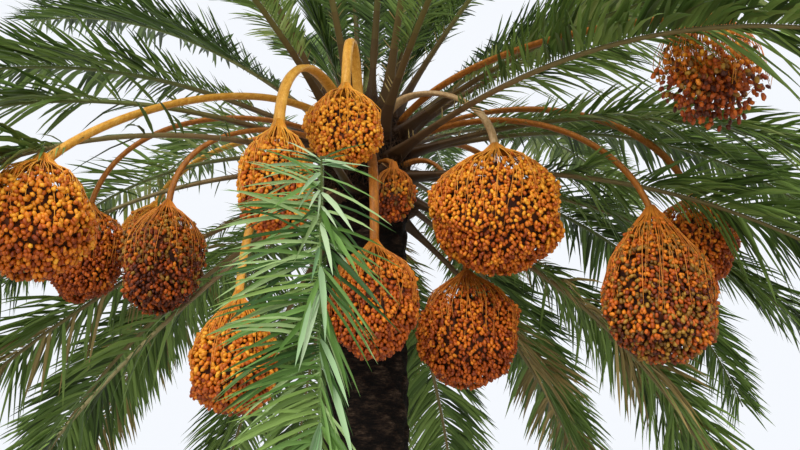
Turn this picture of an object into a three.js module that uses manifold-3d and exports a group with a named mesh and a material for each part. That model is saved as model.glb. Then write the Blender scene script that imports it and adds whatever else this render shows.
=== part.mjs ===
// Fruiting date palm: trunk, crown of feather fronds, and hanging fruit bunches on strap-like stalks.
// Millimetres, +Z up, the flat cut under the trunk on z = 0 with the trunk's foot centred on the origin.
import * as THREE from 'three';
import Module from 'manifold-3d';

const wasm = await Module();
wasm.setup();
const { Manifold, Mesh } = wasm;

const DEG = Math.PI / 180;
const GOLDEN = 137.50776; // degrees from one leaf base to the next one round the crown
const SINK = 14; // how far a base is let into the crown before it is cut back to its seat

// Trunk: swollen at the foot by flare and a little just under the crown; scar is the relief of its leaf scars
const TRUNK = {
  sides: 18, rings: 32, radius: 208, flare: 92, flareFall: 150, swell: 14, swellFrom: 2500,
  scar: 7, scarVary: 5.6, bow: 20, bowBack: -12,
};
// Crown: the top of the trunk that the leaf bases sit on, a cylinder under a dome
const CROWN = {
  sides: 24, radius: 230, foot: 3120, shoulder: 3520, lap: 20, seat: 0.4, rings: [18, 36, 54, 72, 86],
};
// Leaf bases in a spiral, counted from the growing tip down; the first ones share the dome by area
const LEAVES = { count: 52, young: 5, domeShare: 20, offset: 0.6, step: 11.4, start: -132.4 };
// Cut leaves, and the one that hangs in front and is made apart from the rest
const BARE = [29, 37, 42];
const FRONT_LEAF = 50;

const FROND = {
  steps: 60, teeth: 16, length: 2900, petiole: 720, bladeEnd: 0.965, youngScale: 0.62,
  petioleMarks: [0, 60, 170, 380], petioleLead: 60, footReach: 300,
  width: [[0, 88], [60, 76], [150, 54], [350, 42], [720, 33], [1700, 20], [2900, 9]],
  depth: [[0, 46], [60, 40], [150, 33], [350, 29], [720, 25], [1700, 17], [2900, 9]],
};
// How a frond changes from the youngest to the oldest: angles in degrees
const GROWTH = {
  topSine: 0.9976, sineFall: 1.571, droop: [16, 66], droopBy: 0.45, droopEase: 30, easeFrom: 0.55,
  droopVary: 12, bend: 1.35, sway: 14, roll: [8, 60], rollBy: 0.62, length: [0.86, 1], lengthBy: 0.33,
  lengthVary: [0.94, 1.05], raise: [30, 2], raiseBy: 0.62,
};
// A tooth of the blade stands for a spray of leaflets
const TOOTH = {
  length: 470, shape: [[0, 0.42], [0.14, 0.8], [0.4, 1], [0.75, 0.82], [1, 0.52]], vary: [0.9, 1.06],
  forward: 34, forwardGain: 20, forwardVary: 4, flatten: 0.5, tilt: 7, sag: [0.05, 0.17],
};
// Least distance of a rib, a tooth and a strip of fibre from everything that isn't their own
const CLEAR = { rib: 6, tooth: 2, strip: 0.4, look: 1.5 };

// Fronds steered away from the plain spiral round the fruit: turn and rise are added, in degrees.
const STEERED = {
  3: { rise: 4 },
  8: { turn: 6, rise: 6 },
  16: { turn: 22, rise: 16 },
  21: { rise: 14 },
  24: { turn: 4, rise: 22 },
  32: { turn: 12, rise: 12 },
  39: { turn: -8, rise: -14, droop: 30 },
  40: { turn: 6, rise: 4 },
  45: { turn: 14, rise: -22, droop: 25 },
  47: { turn: -14, rise: -14, droop: 28 },
};
// Small changes of turn and rise tried in order until a rib is clear of its neighbours.
const TRIES = [
  [0, 0], [3, 0], [-3, 0], [0, 4], [0, -4], [6, 0], [-6, 0], [4, 4], [-4, 4], [4, -5], [-4, -5],
  [0, 8], [0, -9], [9, 0], [-9, 0], [8, 7], [-8, 7], [8, -8], [-8, -8], [12, 0], [-12, 0],
  [0, 13], [0, -14], [12, 10], [-12, 10], [15, -5], [-15, -5], [16, 14], [-16, 14], [20, 4], [-20, 4], [0, 20],
];

// Fruit stalks and their bunches.
// leaf, lift, slide: the leaf base a stalk comes out by, and how far above and beside it.
// arch: how far out and up the stalk first heads; hang and lean: how it comes down on its end.
// end: the point where the stalk stops and the bunch begins; width: of the strap at its foot.
// bunch: radius across, radius in depth, height; shape: its outline, round if not said; tone: its material.
const BUNCHES = {
  a: { leaf: 29, lift: 72, slide: 26, arch: [60, 330], hang: 620, lean: 20, end: [-80, -640, 3520],
    width: 50, bunch: [215, 155, 400], tone: 'gold' },
  b: { leaf: 29, lift: 0, slide: -14, arch: [150, 330], hang: 560, lean: 0, end: [-345, -950, 3170],
    width: 56, bunch: [180, 160, 520], tone: 'gold' },
  c: { leaf: 42, lift: 10, slide: -4, arch: [250, 180], hang: 700, lean: 0, end: [-500, -800, 2440],
    width: 44, bunch: [225, 205, 490], shape: 'pear', tone: 'orange' },
  d: { leaf: 37, lift: 8, slide: -6, arch: [160, 60], hang: 420, lean: 0, end: [66, -610, 2730],
    width: 46, bunch: [245, 190, 520], tone: 'rust' },
  e: { leaf: 24, lift: 62, slide: 22, arch: [60, 300], hang: 380, lean: 0, end: [657, -475, 3275],
    width: 48, bunch: [365, 250, 640], tone: 'orange' },
  f: { leaf: 40, lift: 62, slide: 24, arch: [200, 120], hang: 520, lean: 0, end: [524, -150, 2715],
    width: 46, bunch: [300, 215, 570], tone: 'rust' },
  g: { leaf: 27, lift: 62, slide: 22, arch: [450, 180], hang: 520, lean: 120, end: [1345, -640, 2885],
    width: 46, bunch: [300, 245, 700], shape: 'pear', tone: 'orange' },
  h: { leaf: 22, lift: 62, slide: 22, arch: [500, 330], hang: 560, lean: 100, end: [1670, -300, 3080],
    width: 44, bunch: [240, 210, 460], tone: 'rust' },
  i: { leaf: 19, lift: 62, slide: 22, arch: [400, 320], hang: 160, lean: 300, end: [1455, -1240, 3530],
    width: 44, bunch: [275, 215, 520], tone: 'orange' },
  j: { leaf: 34, lift: 62, slide: 22, arch: [300, 160], hang: 480, lean: 0, end: [-960, -400, 3000],
    width: 44, bunch: [230, 200, 530], tone: 'olive' },
  k: { leaf: 26, lift: 62, slide: 22, arch: [420, 200], hang: 560, lean: 60, end: [-1385, -300, 3030],
    width: 42, bunch: [230, 195, 480], tone: 'rust' },
  l: { leaf: 21, lift: 62, slide: -30, arch: [520, 150], hang: 330, lean: 230, end: [-1208, -1253, 2871],
    width: 54, bunch: [265, 220, 470], tone: 'gold' },
  n: { leaf: 45, lift: 84, slide: -28, arch: [60, 10], hang: 60, lean: 0, end: [152, -335, 3235],
    width: 40, bunch: [128, 96, 280], tone: 'rust' },
  p: { leaf: 30, lift: 62, slide: 22, arch: [260, 330], hang: 300, lean: 0, end: [830, 710, 3540],
    width: 46, bunch: [250, 240, 480], tone: 'orange' },
  q: { leaf: 33, lift: 62, slide: 22, arch: [260, 160], hang: 480, lean: 0, end: [-30, 930, 2900],
    width: 48, bunch: [270, 250, 560], tone: 'rust' },
  r: { leaf: 23, lift: 62, slide: 22, arch: [450, 330], hang: 330, lean: 120, end: [-1430, 885, 3480],
    width: 46, bunch: [240, 215, 500], tone: 'orange' },
};
const SESSILE = 'n'; // the one bunch on so short a stalk that the two are one piece
const STALK = { stations: 10, sides: 5, foot: 1.12, tip: 0.9, flat: 0.42, round: 0.72 };
const BUNCH = { sides: 12, rings: 8, lump: 0.24, drop: 0.03, gap: 0.4, bite: 6 };
// Share of a bunch's radius at each share of its height, from the neck down
const BUNCH_SHAPES = {
  round: [
    [0, 0.1], [0.05, 0.36], [0.15, 0.7], [0.3, 0.92], [0.48, 1],
    [0.68, 0.97], [0.84, 0.78], [0.95, 0.46], [1, 0.16],
  ],
  pear: [
    [0, 0.1], [0.06, 0.27], [0.17, 0.52], [0.32, 0.78], [0.5, 0.95],
    [0.66, 1], [0.84, 0.84], [0.95, 0.5], [1, 0.16],
  ],
};

// The long frond in front: its petiole comes forward to a knee, where its blade drops straight down.
const FRONT = {
  knee: [-83, -1640, 2722], marks: [[-40, -640, 3010], [-70, -1250, 2870]], stations: 8, gap: 0.4, overlap: 12,
  width: [[0, 88], [0.08, 62], [0.3, 44], [1, 33]],
  depth: [[0, 46], [0.08, 38], [0.3, 34], [1, 26]],
  ridge: 0.5,
};
const FRONT_BLADE = {
  i: FRONT_LEAF, age: 0.4, from: 660, turn: -83, rise: -66, droop: 26, sway: 34, roll: 0, length: 1720,
  petiole: 66, young: 1, raise: 4,
  sides: [
    [[0, 1.1], [0.1, 0.95], [0.26, 0.74], [0.38, 0.48], [0.6, 0.55], [1, 0.8]],
    [[0, 1.2], [0.14, 0.94], [0.3, 0.78], [0.5, 0.68], [1, 0.8]],
  ],
  forward: [[[0, 34], [0.26, 44], [0.38, 68], [1, 72]], [[0, 2], [0.2, 10], [0.5, 27], [1, 45]]],
};
// Fibre round the leaf bases: a strip between two bases, a cap round the growing tip, and the spear in it
const SHEATH = { half: 17, low: -6, high: 17 };
const BUD = { sides: 10, low: -30, high: 46, reach: 36, rings: 3 };
const SPEAR = { sides: 6, low: -20, profile: [[0, 34], [260, 26], [900, 20], [1650, 5]] };

// A number from 0 to 1 that depends only on its keys.
function chance(...keys) {
  let h = 2166136261;
  for (const k of keys) {
    h = Math.imul(h ^ (k & 65535), 16777619);
    h = Math.imul(h ^ (h >>> 13), 1540483477);
    h ^= h >>> 15;
  }
  return (h >>> 0) / 4294967296;
}
const mix = (a, b, t) => a + (b - a) * t;
const grown = ([a, b], age, by) => mix(a, b, Math.min(1, age / by));
const vec = (x, y, z) => new THREE.Vector3(x, y, z);
const along = (p, d, k) => p.clone().addScaledVector(d, k);
const heading = (turn, rise) => vec(
  Math.cos(turn * DEG) * Math.cos(rise * DEG),
  Math.sin(turn * DEG) * Math.cos(rise * DEG),
  Math.sin(rise * DEG),
);

// A value read off a short table of [place, value] rows.
function ramp(rows, s) {
  for (let k = 1; k < rows.length; k++) {
    if (s > rows[k][0]) continue;
    const [s0, v0] = rows[k - 1];
    const [s1, v1] = rows[k];
    return mix(v0, v1, Math.max(0, (s - s0) / (s1 - s0)));
  }
  return rows[rows.length - 1][1];
}

// A closed surface under construction.
class Shell {
  constructor(rings = []) {
    this.points = [];
    this.faces = [];
    if (rings.length) this.tube(rings);
  }

  add(p) {
    this.points.push(p);
    return this.points.length - 1;
  }

  face(...ids) {
    for (let k = 1; k + 1 < ids.length; k++) this.faces.push([ids[0], ids[k], ids[k + 1]]);
  }

  // Four triangles from a quad's edges to one far point.
  tooth(ids, tip) {
    const t = this.add(tip);
    ids.forEach((id, k) => this.faces.push([id, ids[(k + 1) % ids.length], t]));
  }

  // Rings of equal size joined into a tube with flat ends.
  tube(rings) {
    const ids = rings.map((points) => points.map((p) => this.add(p)));
    for (let j = 0; j + 1 < ids.length; j++) {
      ids[j].forEach((id, i) => {
        const k = (i + 1) % ids[j].length;
        this.face(id, ids[j][k], ids[j + 1][k], ids[j + 1][i]);
      });
    }
    this.face(...ids[0].slice().reverse());
    this.face(...ids[ids.length - 1]);
  }

  solid() {
    return new Manifold(new Mesh({
      numProp: 3,
      vertProperties: new Float32Array(this.points.flatMap((p) => [p.x, p.y, p.z])),
      triVerts: new Uint32Array(this.faces.flat()),
    }));
  }
}

// What has been placed so far, with boxes for a fast first look.
class Space {
  constructor() {
    this.items = [];
  }

  add(owner, solid) {
    this.items.push({ owner, solid, box: solid.boundingBox() });
  }

  // True if the solid keeps its distance from all that others than these owners have placed.
  free(owners, solid, distance) {
    const { min, max } = solid.boundingBox();
    return this.items.every((it) => {
      if (owners.includes(it.owner)) return true;
      const apart = [0, 1, 2].some((k) => it.box.min[k] > max[k] + distance || it.box.max[k] < min[k] - distance);
      return apart || solid.minGap(it.solid, distance * CLEAR.look) >= distance;
    });
  }
}

// A level ring of points; radius may depend on the point's number.
function ring(z, radius, sides, [x, y] = [0, 0]) {
  return Array.from({ length: sides }, (_, i) => {
    const a = (i / sides) * 2 * Math.PI;
    const r = typeof radius === 'function' ? radius(i) : radius;
    return vec(x + r * Math.cos(a), y + r * Math.sin(a), z);
  });
}

// The crown's cylinder and dome, grown outwards by an offset, from height z up.
function crownSolid(z, grow = 0) {
  const r = CROWN.radius + grow;
  const dome = CROWN.rings.map((a) => (
    ring(CROWN.shoulder + r * Math.sin(a * DEG), r * Math.cos(a * DEG), CROWN.sides)));
  return new Shell([ring(z, r, CROWN.sides), ring(CROWN.shoulder, r, CROWN.sides), ...dome]).solid();
}

// The trunk: leaf scars make low diamonds all over it, and its axis bows a little to one side and back.
function trunkSolid() {
  const rings = [];
  for (let j = 0; j <= TRUNK.rings; j++) {
    const u = j / TRUNK.rings;
    const z = CROWN.foot * u;
    const swell = Math.max(0, (z - TRUNK.swellFrom) / (CROWN.foot - TRUNK.swellFrom));
    const base = TRUNK.radius + TRUNK.flare * Math.exp(-z / TRUNK.flareFall) + TRUNK.swell * swell ** 2;
    const relief = (i) => (((i + j) % 2) * 2 - 1) * TRUNK.scar + TRUNK.scarVary * (chance(i, j, 5) - 0.5);
    const radius = (i) => base + (j % TRUNK.rings ? relief(i) : 0);
    const lean = Math.sin(Math.PI * u);
    rings.push(ring(z, radius, TRUNK.sides, [TRUNK.bow * lean, TRUNK.bowBack * lean]));
  }
  return new Shell(rings).solid().add(crownSolid(CROWN.foot - CROWN.lap));
}

// The place of leaf base i on the crown: its point, the surface direction there and its compass angle.
// lift goes up along the surface and slide goes round it.
function slot(i, lift = 0, slide = 0) {
  const c = 1 - (i + LEAVES.offset) / LEAVES.domeShare;
  const below = Math.max(0, -c * LEAVES.domeShare) * LEAVES.step;
  const arc = (c > 0 ? (Math.PI / 2 - Math.acos(c)) * CROWN.radius : -below) + lift;
  const height = Math.max(0, arc) / CROWN.radius;
  const turn = LEAVES.start + i * GOLDEN + slide / CROWN.radius / DEG;
  const out = heading(turn, height / DEG);
  const point = out.clone().multiplyScalar(CROWN.radius);
  point.z += CROWN.shoulder + Math.min(0, arc);
  return { point, out, turn };
}

// All the sizes of frond i for one of the tries.
function frondPlan(i, attempt) {
  const age = i / (LEAVES.count - 1);
  const base = slot(i);
  const steer = STEERED[i] ?? {};
  const [turn, rise] = TRIES[attempt];
  const ease = GROWTH.droopEase * Math.max(0, age - GROWTH.easeFrom);
  const droop = grown(GROWTH.droop, age, GROWTH.droopBy) - ease + GROWTH.droopVary * (chance(i, 1) - 0.5);
  return {
    i,
    age,
    start: along(base.point, base.out, -SINK),
    turn: base.turn + (steer.turn ?? 0) + turn,
    rise: Math.asin(GROWTH.topSine - GROWTH.sineFall * age) / DEG + (steer.rise ?? 0) + rise,
    droop: steer.droop ?? droop,
    sway: GROWTH.sway * (chance(i, 2) - 0.5),
    roll: mix(...GROWTH.roll, age) * (chance(i, 3) - 0.5),
    length: FROND.length * grown(GROWTH.length, age, GROWTH.lengthBy) * mix(...GROWTH.lengthVary, chance(i, 4)),
    young: i < LEAVES.young ? FROND.youngScale : 1,
    raise: grown(GROWTH.raise, age, GROWTH.raiseBy),
  };
}

// A frond's centre line and its frame (t along, b across, n up) at any share of the way along it.
function frondPath(plan) {
  const step = plan.length / FROND.steps;
  const p = plan.start.clone();
  const list = [];
  for (let k = 0; k <= FROND.steps; k++) {
    const u = k / FROND.steps;
    const turn = plan.turn + plan.sway * u * u;
    const roll = plan.roll * Math.min(1, u / GROWTH.rollBy) * DEG;
    const t = heading(turn, plan.rise - plan.droop * u ** GROWTH.bend);
    const level = heading(turn + 90, 0);
    const b = level.clone().multiplyScalar(Math.cos(roll)).addScaledVector(t.clone().cross(level), Math.sin(roll));
    list.push({ p: p.clone(), t, b, n: t.clone().cross(b) });
    p.addScaledVector(t, step);
  }
  return (u) => {
    const at = Math.min(FROND.steps - 1e-6, Math.max(0, u * FROND.steps));
    const k = Math.floor(at);
    const between = (key) => list[k][key].clone().lerp(list[k + 1][key], at - k);
    return { p: between('p'), t: between('t').normalize(), b: between('b').normalize(), n: between('n').normalize() };
  };
}

// The stations of a frond: those of the bare petiole, then one at each end of every tooth.
function stations(plan) {
  const blade = plan.petiole ?? FROND.petiole * plan.young;
  const list = FROND.petioleMarks.filter((s) => s < blade - FROND.petioleLead).map((s) => s / plan.length);
  const first = list.length;
  for (let k = 0; k <= FROND.teeth; k++) list.push(mix(blade / plan.length, FROND.bladeEnd, k / FROND.teeth));
  return { list, first };
}

// Three corners of the rib's section: the ridge on top and the two lower edges.
function ribCorners(plan, path, u) {
  const s = mix(plan.from ?? 0, FROND.length, u);
  const foot = s < FROND.footReach;
  const w = ramp(FROND.width, s) * (foot ? plan.young : 1);
  const h = ramp(FROND.depth, s) * (foot ? mix(1, plan.young, 0.5) : 1);
  const { p, b, n } = path(u);
  const low = along(p, n, -h / 2);
  return [along(p, n, h / 2), along(low, b, w / 2), along(low, b, -w / 2)];
}

// The far point of the leaflets that tooth k stands for, on side 0 or 1.
function toothTip(plan, path, k, side, u) {
  const v = (k + 0.5) / FROND.teeth;
  const { p, t, b, n } = path(u);
  const vary = mix(...TOOTH.vary, chance(plan.i, k, side, 6));
  const long = TOOTH.length * ramp(TOOTH.shape, v) * (plan.sides ? ramp(plan.sides[side], v) : 1) * vary;
  const lead = plan.forward ? ramp(plan.forward[side], v) : TOOTH.forward + TOOTH.forwardGain * v;
  const forward = (lead + TOOTH.forwardVary * (chance(plan.i, k, side, 7) - 0.5)) * DEG;
  const raise = (plan.raise * (1 - TOOTH.flatten * v) + ((k + side) % 2 ? TOOTH.tilt : -TOOTH.tilt)) * DEG;
  const d = b.clone().multiplyScalar((side ? -1 : 1) * Math.cos(forward) * Math.cos(raise))
    .addScaledVector(t, Math.sin(forward) * Math.cos(raise))
    .addScaledVector(n, Math.sin(raise));
  const tip = along(p, d, long);
  tip.z -= long * mix(...TOOTH.sag, plan.age);
  return tip;
}

// The quad of the rib's side that a tooth grows from.
const sideQuad = ([t0, l0, r0], [t1, l1, r1], side) => (side ? [t0, r0, r1, t1] : [t0, t1, l1, l0]);

// A frond's closed surface. keep(k, side) says which teeth it has; without it, only the bare rib is made.
function frondShell(plan, keep = () => false) {
  const path = frondPath(plan);
  const { list, first } = stations(plan);
  const shell = new Shell();
  const ids = list.map((u) => ribCorners(plan, path, u).map((q) => shell.add(q)));
  shell.face(...ids[0]);
  for (let j = 0; j + 1 < ids.length; j++) {
    shell.face(ids[j][1], ids[j + 1][1], ids[j + 1][2], ids[j][2]);
    for (const side of [0, 1]) {
      const quad = sideQuad(ids[j], ids[j + 1], side);
      const u = (list[j] + list[j + 1]) / 2;
      if (j >= first && keep(j - first, side)) shell.tooth(quad, toothTip(plan, path, j - first, side, u));
      else shell.face(...quad);
    }
  }
  const [t, l, r] = ids[ids.length - 1];
  const end = shell.add(path(1).p);
  shell.face(t, end, l);
  shell.face(t, r, end);
  shell.face(l, end, r);
  return shell;
}

// One tooth by itself, for the test of its distance from everything else.
function toothShell(plan, k, side) {
  const path = frondPath(plan);
  const { list, first } = stations(plan);
  const [u0, u1] = [list[first + k], list[first + k + 1]];
  const shell = new Shell();
  const quad = sideQuad(ribCorners(plan, path, u0), ribCorners(plan, path, u1), side).map((q) => shell.add(q));
  shell.face(...quad.slice().reverse());
  shell.tooth(quad, toothTip(plan, path, k, side, (u0 + u1) / 2));
  return shell;
}

// A stalk: a flat strap from the crown to its bunch, slimmer and rounder towards its end.
function stalkShell({ leaf, lift, slide, arch, hang, lean, end, width }) {
  const foot = slot(leaf, lift, slide);
  const start = along(foot.point, foot.out, -SINK);
  const stop = vec(...end);
  const ahead = vec(stop.x - start.x, stop.y - start.y, 0).normalize();
  const leave = along(start, ahead, arch[0]).setZ(start.z + arch[1]);
  const arrive = along(stop, ahead, -lean).setZ(stop.z + hang);
  const line = new THREE.CubicBezierCurve3(start, leave, arrive, stop);
  const across = vec(-foot.out.y, foot.out.x, 0);
  const rings = [];
  for (let j = 0; j <= STALK.stations; j++) {
    const u = j / STALK.stations;
    const p = line.getPointAt(u);
    const t = u < 1 ? line.getTangentAt(u) : vec(0, 0, -1);
    const side = along(across, t, -across.dot(t)).normalize();
    const n = t.clone().cross(side);
    const half = (width / 2) * mix(STALK.foot, STALK.tip, u);
    rings.push(Array.from({ length: STALK.sides }, (_, i) => {
      const a = ((i + 0.5) / STALK.sides) * 2 * Math.PI;
      return along(along(p, side, half * Math.cos(a)), n, half * mix(STALK.flat, STALK.round, u) * Math.sin(a));
    }));
  }
  return new Shell(rings);
}

// A bunch: fruit hangs in lumps under its neck, widest at half its height. key makes each one different.
function bunchShell({ bunch: [rx, ry, height], end: [x, y, top], shape = 'round' }, key) {
  const rings = [];
  for (let j = 0; j <= BUNCH.rings; j++) {
    const v = 0.5 - 0.5 * Math.cos((Math.PI * j) / BUNCH.rings);
    const z = top - BUNCH.gap - v * height;
    const inner = j % BUNCH.rings ? 1 : 0;
    rings.push(Array.from({ length: BUNCH.sides }, (_, i) => {
      const a = ((i + (j % 2) * 0.5) / BUNCH.sides) * 2 * Math.PI;
      const r = ramp(BUNCH_SHAPES[shape], v) * (1 - inner * BUNCH.lump * chance(i, j, key, 9));
      const drop = inner * BUNCH.drop * height * (chance(i, j, key, 10) - 0.5);
      return vec(x + rx * r * Math.cos(a), y + ry * r * Math.sin(a), z + drop);
    }).reverse());
  }
  return new Shell(rings);
}

// A strip of fibre on the crown between two leaf bases that grew one above the other.
function sheathShell(upper, lower) {
  const run = lower.point.clone().sub(upper.point).normalize();
  return new Shell([upper, lower].map(({ point, out }) => {
    const side = run.clone().cross(out).normalize();
    const corner = (s, d) => along(along(point, side, s * SHEATH.half), out, d);
    return [corner(-1, SHEATH.low), corner(-1, SHEATH.high), corner(1, SHEATH.high), corner(1, SHEATH.low)];
  }));
}

// The cap of fibre over the growing tip, that the youngest leaves come out of.
function budShell() {
  const shellRing = (angle, grow) => {
    const r = CROWN.radius + grow;
    return ring(CROWN.shoulder + r * Math.cos(angle * DEG), r * Math.sin(angle * DEG), BUD.sides);
  };
  const rings = [shellRing(BUD.reach, BUD.low)];
  for (let j = 0; j < BUD.rings; j++) rings.push(shellRing(BUD.reach * (1 - j / BUD.rings), BUD.high));
  return new Shell(rings);
}

const PAINT = {
  trunk: ['trunk_bark', 0x2b2019],
  stalk: ['stalk_orange', 0xd98a2b],
  gold: ['fruit_gold', 0xdba043],
  orange: ['fruit_orange', 0xc9792c],
  rust: ['fruit_rust', 0xa9531f],
  olive: ['fruit_olive', 0x8a7434],
  frond: ['frond_green', 0x5d6f3a],
};
const paints = Object.fromEntries(Object.entries(PAINT).map(([key, [name, color]]) => (
  [key, new THREE.MeshStandardMaterial({ name, color, roughness: 0.75, metalness: 0 })])));

const palm = new THREE.Group();
palm.name = 'date_palm';

function place(name, solid, paint) {
  const { vertProperties, triVerts } = solid.getMesh();
  const geometry = new THREE.BufferGeometry();
  geometry.setAttribute('position', new THREE.BufferAttribute(new Float32Array(vertProperties), 3));
  geometry.setIndex(new THREE.BufferAttribute(new Uint32Array(triVerts), 1));
  const mesh = new THREE.Mesh(geometry, paints[paint]);
  mesh.name = name;
  palm.add(mesh);
}

// Everything that grows from the crown is cut back to this, so that it meets the trunk with a small gap.
const seat = crownSolid(0, CROWN.seat);
const space = new Space();

// The trunk
const trunk = trunkSolid();
place('trunk', trunk, 'trunk');
space.add('trunk', trunk.trimByPlane([0, 0, -1], -CROWN.foot));

// The fruit
Object.entries(BUNCHES).forEach(([letter, spec], key) => {
  const stalk = stalkShell(spec).solid().subtract(seat);
  const bunch = bunchShell(spec, key).solid();
  if (letter === SESSILE) {
    place(`bunch_${letter}`, stalk.add(bunch.translate([0, 0, BUNCH.bite])), spec.tone);
  } else {
    place(`stalk_${letter}`, stalk, 'stalk');
    place(`bunch_${letter}`, bunch, spec.tone);
  }
  space.add(letter, stalk);
  space.add(letter, bunch);
});

// Ribs first, each on its first try that is clear
const plans = [];
for (let i = 0; i < LEAVES.count; i++) {
  if (BARE.includes(i) || i === FRONT_LEAF) continue;
  const clear = TRIES.map((_, attempt) => frondPlan(i, attempt)).find((plan) => (
    i < LEAVES.young || space.free([i], frondShell(plan).solid().subtract(seat), CLEAR.rib)));
  if (!clear) continue;
  space.add(i, frondShell(clear).solid().subtract(seat));
  plans.push(clear);
}

// The front frond's petiole and the bare rib of its blade
function frontPetiole() {
  const foot = slot(FRONT_LEAF);
  const marks = [along(foot.point, foot.out, -SINK), ...FRONT.marks.map((m) => vec(...m)), vec(...FRONT.knee)];
  const line = new THREE.CatmullRomCurve3(marks, false, 'centripetal');
  const rings = [];
  for (let j = 0; j <= FRONT.stations; j++) {
    const u = j / FRONT.stations;
    const { x, y, z } = line.getPointAt(u);
    const w = ramp(FRONT.width, u) / 2;
    const h = ramp(FRONT.depth, u) / 2;
    const section = [[-w, -h], [w, -h], [w * FRONT.ridge, h], [-w * FRONT.ridge, h]];
    rings.push(section.map(([dx, dz]) => vec(x + dx, y, z + dz)));
  }
  return new Shell(rings).solid().subtract(seat);
}
const pastKnee = (solid) => solid.trimByPlane([0, -1, 0], FRONT.gap - FRONT.knee[1]);
const frontBlade = { ...FRONT_BLADE, start: vec(...FRONT.knee).add(vec(0, FRONT.overlap, 0)) };
const petiole = frontPetiole();
space.add(FRONT_LEAF, petiole);
space.add(FRONT_LEAF, pastKnee(frondShell(frontBlade).solid()));
plans.push(frontBlade);

// Then the teeth that are clear of everything
const built = new Map();
for (const plan of plans) {
  const kept = new Set();
  for (let k = 0; k < FROND.teeth; k++) {
    for (const side of [0, 1]) {
      const tooth = toothShell(plan, k, side).solid();
      if (!space.free([plan.i], tooth, CLEAR.tooth)) continue;
      space.add(plan.i, tooth);
      kept.add(2 * k + side);
    }
  }
  built.set(plan.i, frondShell(plan, (k, side) => kept.has(2 * k + side)).solid());
}
place('frond_front_petiole', petiole, 'frond');
place('frond_front_blade', pastKnee(built.get(FRONT_LEAF)), 'frond');
built.delete(FRONT_LEAF);

// The young leaves stand in one bud with the unopened spear
const tip = CROWN.shoulder + CROWN.radius + SPEAR.low;
const spear = new Shell(SPEAR.profile.map(([z, r]) => ring(tip + z, r, SPEAR.sides)));
let heart = budShell().solid().add(spear.solid());
for (let i = 0; i < LEAVES.young; i++) {
  heart = heart.add(built.get(i));
  built.delete(i);
}
place('fronds_young', heart.subtract(seat), 'frond');

// The rest are fused in twos, eight places apart, by the strip of fibre between them, or stand alone
const TURN = 8;
const two = (i) => String(i).padStart(2, '0');
for (const [i, frond] of built) {
  const mate = i + TURN;
  const upper = Math.floor((i - LEAVES.young) / TURN) % 2 === 0;
  const strip = upper && built.has(mate) && sheathShell(slot(i), slot(mate)).solid();
  if (strip && space.free([i, mate, 'trunk'], strip, CLEAR.strip)) {
    place(`fronds_${two(i)}_${two(mate)}`, frond.add(built.get(mate)).add(strip).subtract(seat), 'frond');
    built.delete(mate);
  } else place(`frond_${two(i)}`, frond.subtract(seat), 'frond');
}

export default palm;
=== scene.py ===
"""Looks of a fruiting date palm: bark, leaf bases, ribs, leaflets, stalks, strands and dates.

The rule that the solids grow by is written again here, in millimetres, and carried on to finer
parts. Meshes are made in metres in the frame of the solids, with the flat cut under the trunk on
z = 0. Shares run from 0 to 1 and angles are in degrees, unless a comment says otherwise.
"""

import logging
import math
from collections.abc import Sequence
from dataclasses import dataclass, field
from enum import Enum, IntEnum, StrEnum

import bpy
import numpy as np
from mathutils.kdtree import KDTree
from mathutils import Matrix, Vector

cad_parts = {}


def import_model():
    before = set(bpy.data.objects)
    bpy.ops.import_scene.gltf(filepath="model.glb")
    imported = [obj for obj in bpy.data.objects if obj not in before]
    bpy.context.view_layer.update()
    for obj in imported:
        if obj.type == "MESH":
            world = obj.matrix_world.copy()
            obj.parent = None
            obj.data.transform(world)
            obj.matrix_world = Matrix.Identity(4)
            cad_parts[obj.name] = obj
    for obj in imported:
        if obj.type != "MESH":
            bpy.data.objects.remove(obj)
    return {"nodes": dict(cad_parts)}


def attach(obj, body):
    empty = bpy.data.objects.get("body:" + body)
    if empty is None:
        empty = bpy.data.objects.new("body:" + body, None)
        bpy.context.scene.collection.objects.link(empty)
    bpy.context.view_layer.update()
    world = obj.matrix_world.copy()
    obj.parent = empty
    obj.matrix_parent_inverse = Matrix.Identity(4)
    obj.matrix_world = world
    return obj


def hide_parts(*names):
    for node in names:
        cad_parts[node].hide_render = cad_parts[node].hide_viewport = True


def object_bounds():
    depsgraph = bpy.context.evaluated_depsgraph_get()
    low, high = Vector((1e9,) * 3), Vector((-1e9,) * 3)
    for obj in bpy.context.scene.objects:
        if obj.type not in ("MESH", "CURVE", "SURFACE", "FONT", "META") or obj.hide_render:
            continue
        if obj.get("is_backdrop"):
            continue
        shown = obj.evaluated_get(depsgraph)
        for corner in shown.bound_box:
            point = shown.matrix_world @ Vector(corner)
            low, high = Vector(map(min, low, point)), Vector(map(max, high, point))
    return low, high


LOG = logging.getLogger("date_palm")
MM = 0.001  # metres in a millimetre
FULL_TURN = 2 * math.pi
GOLDEN = 137.50776  # from one leaf base to the next one round the crown
SINK = 14.0  # how far a base is let into the crown
STAND_OUT = 45.0  # how far leaflets' tips may stand out of the solids' box
MATCH = 0.0006  # metres between a point of the rule and the same point of a solid
UP = np.array([0.0, 0.0, 1.0])
LEVEL = np.array([1.0, 1.0, 0.0])  # takes the height out of a vector
WORD, HALF_WORD = 0xFFFFFFFF, 0xFFFF
HASH_START, HASH_STEP, HASH_STIR, HASH_SHIFTS = 2166136261, 16777619, 1540483477, (13, 15)
SHUFFLE = (12.9898, 43758.5453)

Array = np.ndarray
Rows = tuple[tuple[float, float], ...]  # a short table of (place, value) rows
Span = tuple[float, float]  # the lowest and the highest value, or the first and the last one
Corners = tuple[Array, Array]  # the lowest and the highest corner of a box
Teeth = set[tuple[int, int]]  # (number, side) of teeth of a solid blade


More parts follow.
